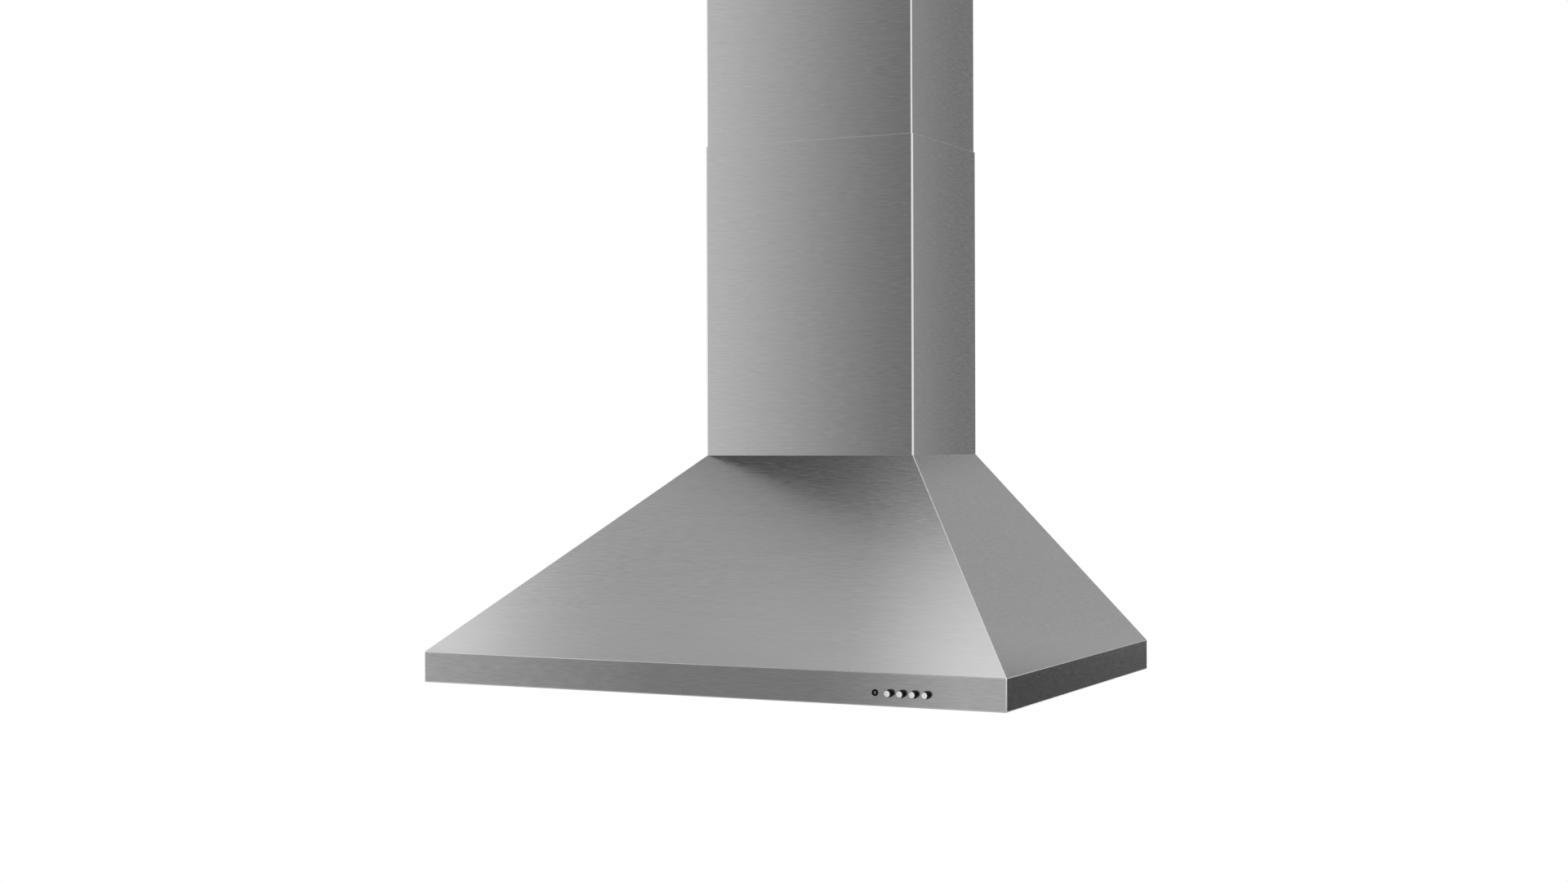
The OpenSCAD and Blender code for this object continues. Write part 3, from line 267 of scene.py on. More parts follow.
def ramp(tree, value, start, end, low=0.0, high=1.0):
    """Smooth change from low to high while value runs from start to end."""
    made = add_node(tree, "ShaderNodeMapRange", {"Value": value, "From Min": start, "From Max": end,
                                                 "To Min": low, "To Max": high},
                    interpolation_type="SMOOTHSTEP")
    return made.outputs[0]


def object_place(tree):
    """Place in the frame, because every piece sits at the origin."""
    return add_node(tree, "ShaderNodeTexCoord").outputs["Object"]


def any_of(tree, first, *others):
    """1 where any of the values is 1."""
    for other in others:
        first = maths(tree, "ADD", first, other, clamped=True)
    return first


def mixed_shader(tree, share, low, high):
    """The low shader where the share is 0, and the high one where it is 1."""
    return add_node(tree, "ShaderNodeMixShader", {0: share, 1: low, 2: high}).outputs[0]


def empty_material(name):
    material = bpy.data.materials.new(name)
    material.use_nodes = True
    material.node_tree.nodes.clear()
    return material


def white_surround():
    """A white room, plain white for rays that show it: from the camera, off metal and through glass."""
    world = bpy.data.worlds.new("white_surround")
    world.use_nodes = True
    scene.world = world
    tree = world.node_tree
    tree.nodes.clear()
    path = add_node(tree, "ShaderNodeLightPath").outputs
    seen = any_of(tree, path["Is Camera Ray"], path["Is Glossy Ray"], path["Is Transmission Ray"])
    soft = add_node(tree, "ShaderNodeBackground", {"Color": WHITE, "Strength": ROOM_LIGHT})
    white = add_node(tree, "ShaderNodeBackground", {"Color": WHITE, "Strength": 1})
    surround = mixed_shader(tree, seen, soft.outputs[0], white.outputs[0])
    add_node(tree, "ShaderNodeOutputWorld", {"Surface": surround})


def new_object(name, data):
    made = bpy.data.objects.new(name, data)
    scene.collection.objects.link(made)
    return made


def upright_corners(x0, x1, y, z0, z1):
    """Corners of a panel that stands level with the wall."""
    return [(x0, y, z0), (x1, y, z0), (x1, y, z1), (x0, y, z1)]


def side_corners(x, y0, y1, z0, z1):
    """Corners of a panel beside the hood."""
    return [(x, y0, z0), (x, y1, z0), (x, y1, z1), (x, y0, z1)]


def level_corners(x0, x1, y0, y1, z):
    """Corners of a panel above or below the hood."""
    return [(x0, y0, z), (x1, y0, z), (x1, y1, z), (x0, y1, z)]


def flat_panel(name, corners):
    """A staging panel, which isn't part of the object."""
    mesh = bpy.data.meshes.new(name)
    mesh.from_pydata(corners, [], [range(len(corners))])
    panel = new_object(name, mesh)
    return panel


def pale_floor():
    """White floor below the tilted filters, which keeps the shadow near the hood. It has no back,
    so a view from below shows the underside."""
    reach = FLOOR_REACH
    floor = flat_panel("floor", level_corners(-reach, reach, -reach, reach, FLOOR_Z))
    paint = empty_material("floor_white")
    tree = paint.node_tree
    away = add_node(tree, "ShaderNodeVectorMath", {0: object_place(tree), 1: SHADOW_AT},
                    operation="DISTANCE")
    far = ramp(tree, away.outputs["Value"], SHADOW_R, SHADOW_FADE_R)
    path = add_node(tree, "ShaderNodeLightPath").outputs
    seen_far = times(tree, path["Is Camera Ray"], far)
    plain = any_of(tree, path["Is Glossy Ray"], path["Is Transmission Ray"], seen_far)
    matt = add_node(tree, "ShaderNodeBsdfDiffuse", {"Color": (FLOOR_TONE, FLOOR_TONE, FLOOR_TONE, 1)})
    glow = add_node(tree, "ShaderNodeEmission", {"Color": WHITE, "Strength": 1})
    face = mixed_shader(tree, plain, matt.outputs[0], glow.outputs[0])
    back = add_node(tree, "ShaderNodeNewGeometry").outputs["Backfacing"]
    clear = add_node(tree, "ShaderNodeBsdfTransparent").outputs[0]
    add_node(tree, "ShaderNodeOutputMaterial", {"Surface": mixed_shader(tree, back, face, clear)})
    floor.data.materials.append(paint)


def grey_card(name, corners, axis, stops, shade=None):
    """A studio card that only reflections show. Stops are (place along the axis, level) pairs, and
    shade is an optional function of the tree and the place that shades the card further."""
    card = flat_panel(name, corners)
    paint = empty_material(name)
    tree = paint.node_tree
    place = add_node(tree, "ShaderNodeSeparateXYZ", {0: object_place(tree)}).outputs
    start, end = stops[0][0], stops[-1][0]
    along = add_node(tree, "ShaderNodeMapRange", {"Value": place[axis], "From Min": start,
                                                  "From Max": end})
    tones = add_node(tree, "ShaderNodeValToRGB", {0: along.outputs[0]})
    band = tones.color_ramp
    band.interpolation = "LINEAR"
    while len(band.elements) < len(stops):
        band.elements.new(0.5)
    for element, (stop, level) in zip(band.elements, stops):
        element.position = (stop - start) / (end - start)
        element.color = (level, level, level, 1)
    strength = shade(tree, place) if shade else 1.0
    glow = add_node(tree, "ShaderNodeEmission", {"Color": tones.outputs[0], "Strength": strength})
    add_node(tree, "ShaderNodeOutputMaterial", {"Surface": glow.outputs[0]})
    card.data.materials.append(paint)
    card.visible_camera = False
    card.visible_diffuse = False
    card.visible_transmission = False
    card.visible_shadow = False


def shade_over_the_slope(tree, place):
    """Brightest far from the wall, and darkest where the chimney's foot shades the front slope."""
    fall = ramp(tree, place["Y"], start=-0.36, end=0, low=1.2, high=0.9)
    rise = ramp(tree, place["Y"], start=0.05, end=0.26, low=1, high=1.22)
    lean = 1.9
    slant = maths(tree, "MULTIPLY_ADD", place["Y"], lean, place["X"])
    depth_of_shade = ramp(tree, place["Y"], start=-0.04, end=0.26, high=0.58)
    spot_of_shade = times(tree, depth_of_shade, ramp(tree, slant, start=-1.20, end=-1.10))
    return times(tree, times(tree, fall, rise), maths(tree, "SUBTRACT", 1, spot_of_shade))


def shade_beside_the_chimney(tree, place):
    """The small dark corner that the chimney's foot leaves on the right slope."""
    lean = -3.1
    slant = maths(tree, "MULTIPLY_ADD", place["X"], lean, place["Z"])
    return ramp(tree, slant, start=0.335, end=0.375, low=1, high=0.6)


def shade_past_the_front(tree, place):
    """Dark from a little way in front of the hood."""
    return ramp(tree, place["Y"], start=-0.55, end=-0.68, low=1, high=0.2)


def soft_box():
    """One soft lamp from the front left, which no reflection shows."""
    lamp = bpy.data.lights.new("soft_box", "AREA")
    lamp.shape = "SQUARE"
    lamp.size = SOFT_BOX_SIZE
    lamp.energy = SOFT_BOX_WATTS
    box = new_object("soft_box", lamp)
    box.matrix_world = (SOFT_BOX_AT - SOFT_BOX_AIM).to_track_quat("Z", "Y").to_matrix().to_4x4()
    box.location = SOFT_BOX_AT
    box.visible_glossy = False


def studio_cards():
    """The cards that shade the steel, each with its tones along one axis."""
    grey_card("front_card", upright_corners(x0=-1.5, x1=0.5, y=-1.75, z0=0.05, z1=1.85), "X",
              [(-1.3, 1), (-0.96, 0.73), (-0.72, 0.46), (-0.6, 0.33), (-0.49, 0.235), (-0.2, 0.22), (0.3, 1)])
    grey_card("rim_card", upright_corners(x0=-1.4, x1=1.2, y=-1.0, z0=-1.2, z1=0.16), "X",
              [(-1.2, 1), (-0.72, 0.54), (-0.61, 0.47), (-0.45, 0.37), (-0.3, 0.29), (0, 0.29), (0.08, 0.36),
               (0.22, 0.59), (0.5, 0.6), (1.1, 1)])
    grey_card("ceiling_card", level_corners(x0=-3.4, x1=0.4, y0=-0.46, y1=2.2, z=CEILING_Z), "X",
              [(-3.3, 1.14), (-2.7, 1.12), (-2.42, 1), (-2.3, 0.77), (-2.1, 0.59), (-1.95, 0.535),
               (-1.7, 0.54), (-1.5, 0.565), (-1.35, 0.575), (-1.2, 0.565), (-1.1, 0.56), (-0.95, 0.78),
               (-0.8, 0.97), (-0.7, 1.04), (0.3, 1.08)],
              shade_over_the_slope)
    grey_card("front_ceiling_card", level_corners(x0=-3.4, x1=0.4, y0=-2.2, y1=-0.46, z=CEILING_Z), "X",
              [(-3.3, 1), (-1.8, 0.33), (-1.55, 0.24), (-1.4, 0.3), (-1.25, 0.4), (-1.12, 0.6), (-1.05, 0.87),
               (-0.95, 1.17), (-0.8, 1.3), (0.3, 1.2)],
              shade_past_the_front)
    grey_card("right_card", upright_corners(x0=-0.4, x1=3.5, y=1.5, z0=0.0, z1=2.8), "X",
              [(-0.3, 0.55), (0.0, 0.425), (0.5, 0.44), (0.6, 0.46), (0.66, 0.6), (0.72, 0.2), (0.8, 0.2),
               (0.87, 0.315), (0.96, 0.43), (1.4, 0.5), (3.2, 1)],
              shade_beside_the_chimney)
    grey_card("low_right_card", upright_corners(x0=0.3, x1=3.5, y=1.4, z0=-1.2, z1=-0.03), "X",
              [(0.4, 0.4), (0.8, 0.135), (1.3, 0.065), (3.4, 0.5)])
    grey_card("floor_card", level_corners(x0=-1.5, x1=1.5, y0=-2.0, y1=0.8, z=FLOOR_CARD_Z), "X",
              [(-1.4, 0.4), (1.4, 0.4)])
    grey_card("left_card", side_corners(x=-2.7, y0=-0.9, y1=3.4, z0=-1.2, z1=2.9), "Y",
              [(-0.8, 0.9), (0.2, 0.36), (1.2, 0.4), (2.2, 0.62), (3.3, 0.9)])
    grey_card("far_right_card", side_corners(x=3.6, y0=-3.4, y1=1.3, z0=-1.2, z1=2.9), "Y",
              [(-3.3, 0.9), (-2.3, 0.5), (-1.2, 0.46), (-0.2, 0.75), (1.2, 1)])


# Finishes

def blank_material(name):
    """A material with one Principled shader, returned with its tree and that shader."""
    material = empty_material(name)
    tree = material.node_tree
    shader = add_node(tree, "ShaderNodeBsdfPrincipled")
    add_node(tree, "ShaderNodeOutputMaterial", {"Surface": shader.outputs[0]})
    return material, tree, shader


def noise(tree, vector, scale=1, stretch=(1, 1, 1), detail=2.0):
    """Noise from 0 to 1 about 0.5, with cells 1 / scale metres wide before the stretch."""
    mapped = add_node(tree, "ShaderNodeMapping", {"Vector": vector, "Scale": stretch})
    made = add_node(tree, "ShaderNodeTexNoise", {"Vector": mapped.outputs[0], "Scale": scale,
                                                 "Detail": detail})
    return made.outputs[0]


def spread(tree, value, low, high, start=0.3, end=0.7):
    """Maps a value, or else the middle of a noise, onto the range from low to high."""
    made = add_node(tree, "ShaderNodeMapRange", {"Value": value, "From Min": start, "From Max": end,
                                                 "To Min": low, "To Max": high})
    return made.outputs[0]


def blend(tree, share, low, high):
    """The low value where the share is 0, and the high one where it is 1."""
    return add_node(tree, "ShaderNodeMix", {0: share, 2: low, 3: high}, data_type="FLOAT").outputs[0]


def grey(tree, value, tint=(1, 1, 1)):
    """Colour of one tone with a slight tint."""
    parts = [times(tree, value, share) for share in tint]
    return add_node(tree, "ShaderNodeCombineColor", dict(enumerate(parts))).outputs[0]


def coat(tree, shader, colour, roughness, metallic=0.0):
    """Gives a shader its colour and roughness, and tells how far it is metal."""
    tree.links.new(colour, shader.inputs["Base Color"])
    tree.links.new(roughness, shader.inputs["Roughness"])
    shader.inputs["Metallic"].default_value = metallic


def bump(tree, shader, height, distance, strength):
    """Relief of a finish, distance deep."""
    made = add_node(tree, "ShaderNodeBump", {"Height": height, "Distance": distance,
                                             "Strength": strength})
    tree.links.new(made.outputs[0], shader.inputs["Normal"])


def brushed_sheet(name, contrast):
    """Stainless sheet brushed along the U of the Grain map: long hair lines over broader bands.
    Its narrow faces, the bends and sheared edges, are painted brighter as a highlight, with a rougher finish."""
    material, tree, shader = blank_material(name)
    grain = add_node(tree, "ShaderNodeUVMap", uv_map="Grain").outputs[0]
    hair = noise(tree, grain, stretch=HAIR_GRAIN, detail=3)
    line = noise(tree, grain, stretch=LINE_GRAIN, detail=2)
    band = noise(tree, grain, stretch=BAND_GRAIN, detail=1)
    fine = blend(tree, LINE_SHARE, hair, line)
    both = blend(tree, BAND_SHARE, fine, band)
    # Painted highlight: the base colour of the narrow faces is blended towards a pale tone.
    painted_highlight = add_node(tree, "ShaderNodeAttribute", attribute_name="narrow").outputs["Fac"]
    flat = spread(tree, both, BRUSHED_TONE * (1 - contrast), BRUSHED_TONE * (1 + contrast))
    brushed = spread(tree, fine, BRUSHED_ROUGHNESS - ROUGHNESS_SWING, BRUSHED_ROUGHNESS + ROUGHNESS_SWING)
    coat(tree, shader, grey(tree, blend(tree, painted_highlight, flat, PAINTED_HIGHLIGHT_TONE)),
         blend(tree, painted_highlight, brushed, NARROW_FACE_ROUGHNESS), metallic=1)
    bump(tree, shader, fine, distance=0.02 * MM, strength=0.38)
    shader.inputs["Anisotropic"].default_value = BRUSHED_ANISOTROPY
    shader.inputs["Anisotropic Rotation"].default_value = QUARTER_TURN
    along = add_node(tree, "ShaderNodeTangent", direction_type="UV_MAP", uv_map="Grain")
    tree.links.new(along.outputs[0], shader.inputs["Tangent"])
    return material


def zinc_sheet():
    """Galvanised steel: flat crystals of slightly different tone, with a fine grain over them."""
    material, tree, shader = blank_material("galvanised_sheet")
    place = object_place(tree)
    crystal = add_node(tree, "ShaderNodeTexVoronoi", {"Vector": place, "Scale": ZINC_CRYSTALS})
    tone = add_node(tree, "ShaderNodeSeparateColor", {0: crystal.outputs["Color"]}).outputs[0]
    haze = noise(tree, place, ZINC_HAZE)
    hazy = blend(tree, HAZE_SHARE, tone, haze)
    base = grey(tree, spread(tree, hazy, 0.42, 0.62, start=0, end=1), tint=(0.98, 1, 1.02))
    coat(tree, shader, base, spread(tree, hazy, 0.3, 0.52, start=0, end=1), metallic=1)
    bump(tree, shader, haze, distance=0.04 * MM, strength=0.4)
    return material


def plain_metal(name, tone, roughness, tint=(1, 1, 1), scale=900):
    """Turned, drawn or plated metal with a fine cloudy surface."""
    material, tree, shader = blank_material(name)
    place = object_place(tree)
    fine = noise(tree, place, scale)
    cloud = noise(tree, place, scale / CLOUD_SIZE)
    base = grey(tree, spread(tree, cloud, tone * (1 - CLOUD_SWING), tone * (1 + CLOUD_SWING)), tint)
    rough = spread(tree, fine, roughness * (1 - METAL_ROUGHNESS_SWING),
                   roughness * (1 + METAL_ROUGHNESS_SWING))
    coat(tree, shader, base, rough, metallic=1)
    bump(tree, shader, fine, distance=0.02 * MM, strength=0.4)
    return material


def moulded(name, colour, roughness, grain_scale=1800, grain_depth=0.05 * MM, shine=0.5):
    """Moulded plastic, enamel or rubber with a fine eroded grain and slight flow marks."""
    material, tree, shader = blank_material(name)
    place = object_place(tree)
    fine = noise(tree, place, grain_scale)
    flow = noise(tree, place, FLOW_MARKS, stretch=(1, 1, 0.4))
    base = grey(tree, spread(tree, flow, 0.86, 1.14), tint=colour)
    coat(tree, shader, base, spread(tree, fine, roughness - 0.06, roughness + 0.08))
    bump(tree, shader, fine, distance=grain_depth, strength=0.5)
    shader.inputs["Specular IOR Level"].default_value = shine
    return material


def button_cap():
    """Satin chrome over a moulded cap: pale, with a fine turned grain."""
    material, tree, shader = blank_material("polished_button")
    fine = noise(tree, object_place(tree), stretch=(2600, 300, 2600))
    base = grey(tree, spread(tree, fine, 0.9, 0.98))
    coat(tree, shader, base, spread(tree, fine, 0.26, 0.34), metallic=0.55)
    bump(tree, shader, fine, distance=0.01 * MM, strength=0.4)
    return material


def frosted_glass():
    """Pressed glass with an even frost."""
    material, tree, shader = blank_material("lamp_glass")
    frost = noise(tree, object_place(tree), scale=1400, detail=3)
    base = grey(tree, spread(tree, frost, 0.86, 0.94), tint=(0.98, 1, 1))
    coat(tree, shader, base, spread(tree, frost, 0.3, 0.5))
    bump(tree, shader, frost, distance=0.05 * MM, strength=0.5)
    shader.inputs["Transmission Weight"].default_value = 0.75
    shader.inputs["IOR"].default_value = 1.5
    return material


def lacquered_board():
    """Green circuit board with faint copper tracks under the lacquer."""
    material, tree, shader = blank_material("circuit_board")
    place = object_place(tree)
    tracks = add_node(tree, "ShaderNodeTexBrick", {"Vector": place, "Scale": 160,
                                                   "Color1": (0.02, 0.13, 0.05, 1),
                                                   "Color2": (0.02, 0.16, 0.06, 1),
                                                   "Mortar": (0.05, 0.22, 0.09, 1)})
    haze = noise(tree, place, scale=600)
    coat(tree, shader, tracks.outputs["Color"], spread(tree, haze, 0.2, 0.3))
    bump(tree, shader, tracks.outputs["Fac"], distance=0.04 * MM, strength=0.5)
    return material


FINISHES = {
    "brushed_stainless": brushed_sheet("brushed_stainless", 0.12),
    "brushed_cover": brushed_sheet("brushed_cover", 0.07),
    "galvanised_sheet": zinc_sheet(),
    "plated_screw": plain_metal("plated_screw", 0.55, 0.28, tint=(1, 0.98, 0.92)),
    "filter_aluminium": plain_metal("filter_aluminium", 0.68, 0.34, tint=(0.99, 1, 1.01), scale=1400),
    "filter_mesh": plain_metal("filter_mesh", 0.62, 0.3, tint=(0.99, 1, 1.01), scale=1400),
    "black_plastic": moulded("black_plastic", (0.03, 0.03, 0.032), 0.5),
    "spring_steel": plain_metal("spring_steel", 0.6, 0.22),
    "polished_button": button_cap(),
    "glossy_black": moulded("glossy_black", (0.004, 0.004, 0.004), 0.16, grain_scale=2400,
                            grain_depth=0.01 * MM, shine=0.02),
    "lamp_trim": plain_metal("lamp_trim", 0.68, 0.3, scale=1600),
    "lamp_glass": frosted_glass(),
    "circuit_board": lacquered_board(),
    "indicator_window": moulded("indicator_window", (0.1, 0.1, 0.1), 0.14, grain_scale=300,
                                grain_depth=0.01 * MM),
    "motor_enamel": moulded("motor_enamel", (0.16, 0.17, 0.18), 0.4, grain_scale=500,
                            grain_depth=0.06 * MM),
    "bush_rubber": moulded("bush_rubber", (0.02, 0.02, 0.02), 0.75, grain_scale=900),
    "capacitor_shell": moulded("capacitor_shell", (0.72, 0.72, 0.7), 0.3, grain_scale=700,
                               grain_depth=0.02 * MM),
    "collar_plastic": moulded("collar_plastic", (0.09, 0.09, 0.095), 0.48),
}


# Meshes

def from_bmesh(name, bm):
    mesh = bpy.data.meshes.new(name)
    bm.to_mesh(mesh)
    bm.free()
    return new_object(name, mesh)


def add_modifier(piece, kind, **settings):
    made = piece.modifiers.new(kind.lower(), kind)
    for key, value in settings.items():
        setattr(made, key, value)
    return made


def settle(piece):
    """Turns a piece with its modifiers into a plain mesh."""
    bpy.context.view_layer.update()
    graph = bpy.context.evaluated_depsgraph_get()
    done = bpy.data.meshes.new_from_object(piece.evaluated_get(graph), depsgraph=graph,
                                           preserve_all_data_layers=True)
    piece.modifiers.clear()
    old = piece.data
    piece.data = done
    bpy.data.meshes.remove(old)
    return piece


def lay_grain(mesh):
    """Writes the Grain map in metres: U runs level along each face and V runs across it."""
    layer = mesh.uv_layers.new(name="Grain")
    for face in mesh.polygons:
        level = UP.cross(face.normal)
        along = level.normalized() if level.length > NEARLY_LEVEL else Vector((1, 0, 0))
        across = face.normal.cross(along)
        for loop in face.loop_indices:
            point = mesh.vertices[mesh.loops[loop].vertex_index].co
            layer.data[loop].uv = (point.dot(along), point.dot(across))


def mark_narrow(mesh):
    """Marks the bends and sheared edges, which the brushed finish paints with a highlight: all faces that
    look one way and are small together.
    """
    def way(face):
        return tuple(round(part, 2) + 0.0 for part in face.normal)
    total = {}
    for face in mesh.polygons:
        total[way(face)] = total.get(way(face), 0) + face.area
    marks = mesh.attributes.new("narrow", "FLOAT", "FACE")
    for face in mesh.polygons:
        marks.data[face.index].value = 1.0 if total[way(face)] < NARROW_FACE_AREA else 0.0


def dress(piece, node, slot=None, finish=None):
    """Gives a finished mesh its finish and normals, and puts it in the place of its node. Slot and
    finish are given where they aren't the node's own."""
    body = node_body[node]
    slot = slot or node_slot[node]
    lay_grain(piece.data)
    # Brushed steel paints a highlight on the narrow faces that this marks.
    if slot == "brushed_stainless":
        mark_narrow(piece.data)
    piece.data.set_sharp_from_angle(angle=HARD_EDGE)
    piece.data.materials.clear()
    piece.data.materials.append(FINISHES[finish or slot])
    piece.data.polygons.foreach_set("material_index", [0] * len(piece.data.polygons))
    piece.data.polygons.foreach_set("use_smooth", [True] * len(piece.data.polygons))
    add_modifier(piece, "WEIGHTED_NORMAL", weight=50, keep_sharp=True)
    settle(piece)
    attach(piece, body)
    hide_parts(node)
    return piece


def bend(corners, radii, steps=ARC_STEPS):
    """Rounds the inner corners of a polyline, each to its own radius."""
    out = [corners[0]]
    for before, corner, after, radius in zip(corners, corners[1:], corners[2:], radii):
        back, ahead = (before - corner).normalized(), (after - corner).normalized()
        turn = math.pi - back.angle(ahead)
        centre = corner + (back + ahead).normalized() * (radius / math.cos(turn / 2))
        start = corner + back * (radius * math.tan(turn / 2)) - centre
        end = corner + ahead * (radius * math.tan(turn / 2)) - centre
        for i in range(steps + 1):
            t = i / steps
            arm = (start * math.sin((1 - t) * turn) + end * math.sin(t * turn)) / math.sin(turn)
            out.append(centre + arm)
    return out + [corners[-1]]


def skin(name, rows, inside):
    """Joins rows of points into a sheet whose faces look away from the point inside."""
    bm = bmesh.new()
    grid = [[bm.verts.new(point) for point in row] for row in rows]
    for low, high in zip(grid, grid[1:]):
        for a, b, c, d in zip(low, low[1:], high[1:], high):
            bm.faces.new((a, b, c, d))
    bm.normal_update()
    if sum(f.calc_area() * f.normal.dot(f.calc_center_median() - inside) for f in bm.faces) < 0:
        bmesh.ops.reverse_faces(bm, faces=bm.faces)
    return from_bmesh(name, bm)


def bent_sheet(name, rows, inside):
    """Sheet metal of the full thickness behind its outer skin."""
    piece = skin(name, rows, inside)
    add_modifier(piece, "SOLIDIFY", thickness=SHEET, offset=-1)
    return piece


def lathe(name, profile, centre, steps=48, upright=False):
    """Solid turned about a line through centre, along Y or upright along Z. The profile holds
    (radius, place along the line) pairs."""
    bm = bmesh.new()
    rings = []
    for radius, place in profile:
        ring = []
        for i in range(steps if radius > 0 else 1):
            a, b = radius * math.cos(math.tau * i / steps), radius * math.sin(math.tau * i / steps)
            around = (centre.x + a, centre.y + b, place) if upright else (centre.x + a, place, centre.z + b)
            ring.append(bm.verts.new(around))
        rings.append(ring)
    for low, high in zip(rings, rings[1:]):
        for i in range(steps if len(low) + len(high) > 2 else 0):
            j = (i + 1) % steps
            corners = [low[i % len(low)], low[j % len(low)], high[j % len(high)], high[i % len(high)]]
            bm.faces.new(list(dict.fromkeys(corners)))
    bmesh.ops.remove_doubles(bm, verts=bm.verts, dist=MERGE_GAP / 4)
    bmesh.ops.recalc_face_normals(bm, faces=bm.faces)
    return from_bmesh(name, bm)


def arc(centre_r, centre_place, radius, start, end):
    """Points of a profile's rounded corner, as a lathe takes them, with angles in degrees."""
    points = []
    for i in range(ARC_STEPS + 1):
        angle = math.radians(start + (end - start) * i / ARC_STEPS)
        points.append((centre_r + radius * math.cos(angle), centre_place + radius * math.sin(angle)))
    return points


def cutter_y(x, z, radius, y0, y1):
    """A round bar along Y to cut a hole with."""
    return lathe("cutter", [(0, y0), (radius, y0), (radius, y1), (0, y1)], Vector((x, 0, z)))


def cut(piece, cutters):
    """Takes the cutters out of the piece and deletes them."""
    for cutter in cutters:
        add_modifier(piece, "BOOLEAN", operation="DIFFERENCE", solver="EXACT", object=cutter)
    settle(piece)
    for cutter in cutters:
        bpy.data.objects.remove(cutter)


# The canopy's outline, from the frame
front_low, front_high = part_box("canopy_front_panel")
lower_low, lower_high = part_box("lower_chimney_cover")
half_w, depth, slope_top = front_high.x, -front_low.y, front_high.z
side_run = half_w - lower_high.x
front_run = depth + lower_low.y
canopy_inside = Vector((0, -depth / 2, RIM_H))


def canopy_levels():
    """Front inset, side inset and height of the sheet, from its upstand out to the rim and up."""
    def section(lip, run):
        corners = [Vector((lip, LIP_UP)), Vector((lip, 0)), Vector((0, 0)), Vector((0, RIM_H)),
                   Vector((run, slope_top))]
        return bend(corners, [BEND_R] * 3)
    pairs = zip(section(FRONT_LIP, front_run), section(SIDE_LIP, side_run))
    return [(front.x, side.x, (front.y + side.y) / 2) for front, side in pairs]


def hip_point(side, front_inset, side_inset, z, degrees):
    """Point on the rounded corner of one level: 0 degrees looks sideways and -90 to the front."""
    angle = math.radians(degrees)
    x = half_w - side_inset - HIP_R + HIP_R * math.cos(angle)
    y = -(depth - front_inset - HIP_R) + HIP_R * math.sin(angle)
    return Vector((side * x, y, z))


def seam_turn(z):
    """The panels part at the rim by a narrow seam and touch on the hips."""
    return math.degrees(SEAM_HALF / HIP_R) if z < RIM_H - BEND_R / 2 else 0


def ease_holes(mesh, places):
    """Rounds the front edge of each round hole. Places holds each hole's x, z and radius."""
    bm = bmesh.new()
    bm.from_mesh(mesh)
    near = 0.02 * MM
    def on_rim_of_hole(vert):
        return vert.co.y < -depth + near and any(
            abs(math.hypot(vert.co.x - x, vert.co.z - z) - radius) < near for x, z, radius in places)
    edges = [e for e in bm.edges if on_rim_of_hole(e.verts[0]) and on_rim_of_hole(e.verts[1])]
    bmesh.ops.bevel(bm, geom=edges, offset=HOLE_EASE, segments=3, affect="EDGES", profile=0.5)
    bm.to_mesh(mesh)
    bm.free()


def canopy_front():
    """The front's slope, rim and lip in one sheet, with the holes for the controls."""
    rows = []
    for front, side, z in canopy_levels():
        end = -45 - seam_turn(z)
        turn = [-90 + (end + 90) * i / HIP_STEPS for i in range(HIP_STEPS + 1)]
        left = [hip_point(-1, front, side, z, a) for a in reversed(turn)]
        right = [hip_point(1, front, side, z, a) for a in turn]
        rows.append(left + right)
    piece = bent_sheet("canopy_front_sheet", rows, canopy_inside)
    holes = [(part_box(name), BUTTON_HOLE_R) for name in BUTTONS]
    holes.append((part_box("indicator_bezel"), INDICATOR_HOLE_R))
    places = [((low.x + high.x) / 2, (low.z + high.z) / 2, radius) for (low, high), radius in holes]
    cut(piece, [cutter_y(x, z, radius, -depth - HOLE_MARGIN, -depth + HOLE_MARGIN)
                for x, z, radius in places])
    ease_holes(piece.data, places)
    dress(piece, "canopy_front_panel")


def canopy_side(side, name):
    """One side's slope, rim and lip in one sheet."""
    rows = []
    for front, inset, z in canopy_levels():
        start = -45 + seam_turn(z)
        turn = [start - start * i / HIP_STEPS for i in range(HIP_STEPS + 1)]
        corner = [hip_point(side, front, inset, z, a) for a in turn]
        rows.append(corner + [Vector((side * (half_w - inset), 0, z))])
    piece = bent_sheet(f"canopy_{name}_sheet", rows, canopy_inside)
    settle(piece)
    dress(piece, f"canopy_{name}_panel")


# Geometry Nodes
SOCKETS = {int: "NodeSocketInt", float: "NodeSocketFloat", tuple: "NodeSocketVector"}


def grow(name, plan, finish, values, base=None):
    """Runs a plan, a function that lays geometry nodes, with its named values on a base mesh and
    keeps the result as a plain mesh. The plan takes the tree and the values' sockets by name."""
    tree = bpy.data.node_groups.new(name, "GeometryNodeTree")
    face = tree.interface
    face.new_socket("Geometry", in_out="INPUT", socket_type="NodeSocketGeometry")
    keys = {}
    for label, value in values.items():
        keys[label] = face.new_socket(label, in_out="INPUT", socket_type=SOCKETS[type(value)]).identifier
    face.new_socket("Geometry", in_out="OUTPUT", socket_type="NodeSocketGeometry")
    group = add_node(tree, "NodeGroupInput").outputs
    real = add_node(tree, "GeometryNodeRealizeInstances", {0: plan(tree, group)})
    painted = add_node(tree, "GeometryNodeSetMaterial", {"Geometry": real.outputs[0],
                                                         "Material": FINISHES[finish]})
    add_node(tree, "NodeGroupOutput", {0: painted.outputs[0]})
    piece = new_object(name, base or bpy.data.meshes.new(name))
    made = piece.modifiers.new(name, "NODES")
    made.node_group = tree
    for label, value in values.items():
        made[keys[label]] = value
    return settle(piece)


def spot(tree, x=0.0, y=0.0, z=0.0):
    """A vector of numbers or sockets."""
    return add_node(tree, "ShaderNodeCombineXYZ", {0: x, 1: y, 2: z}).outputs[0]


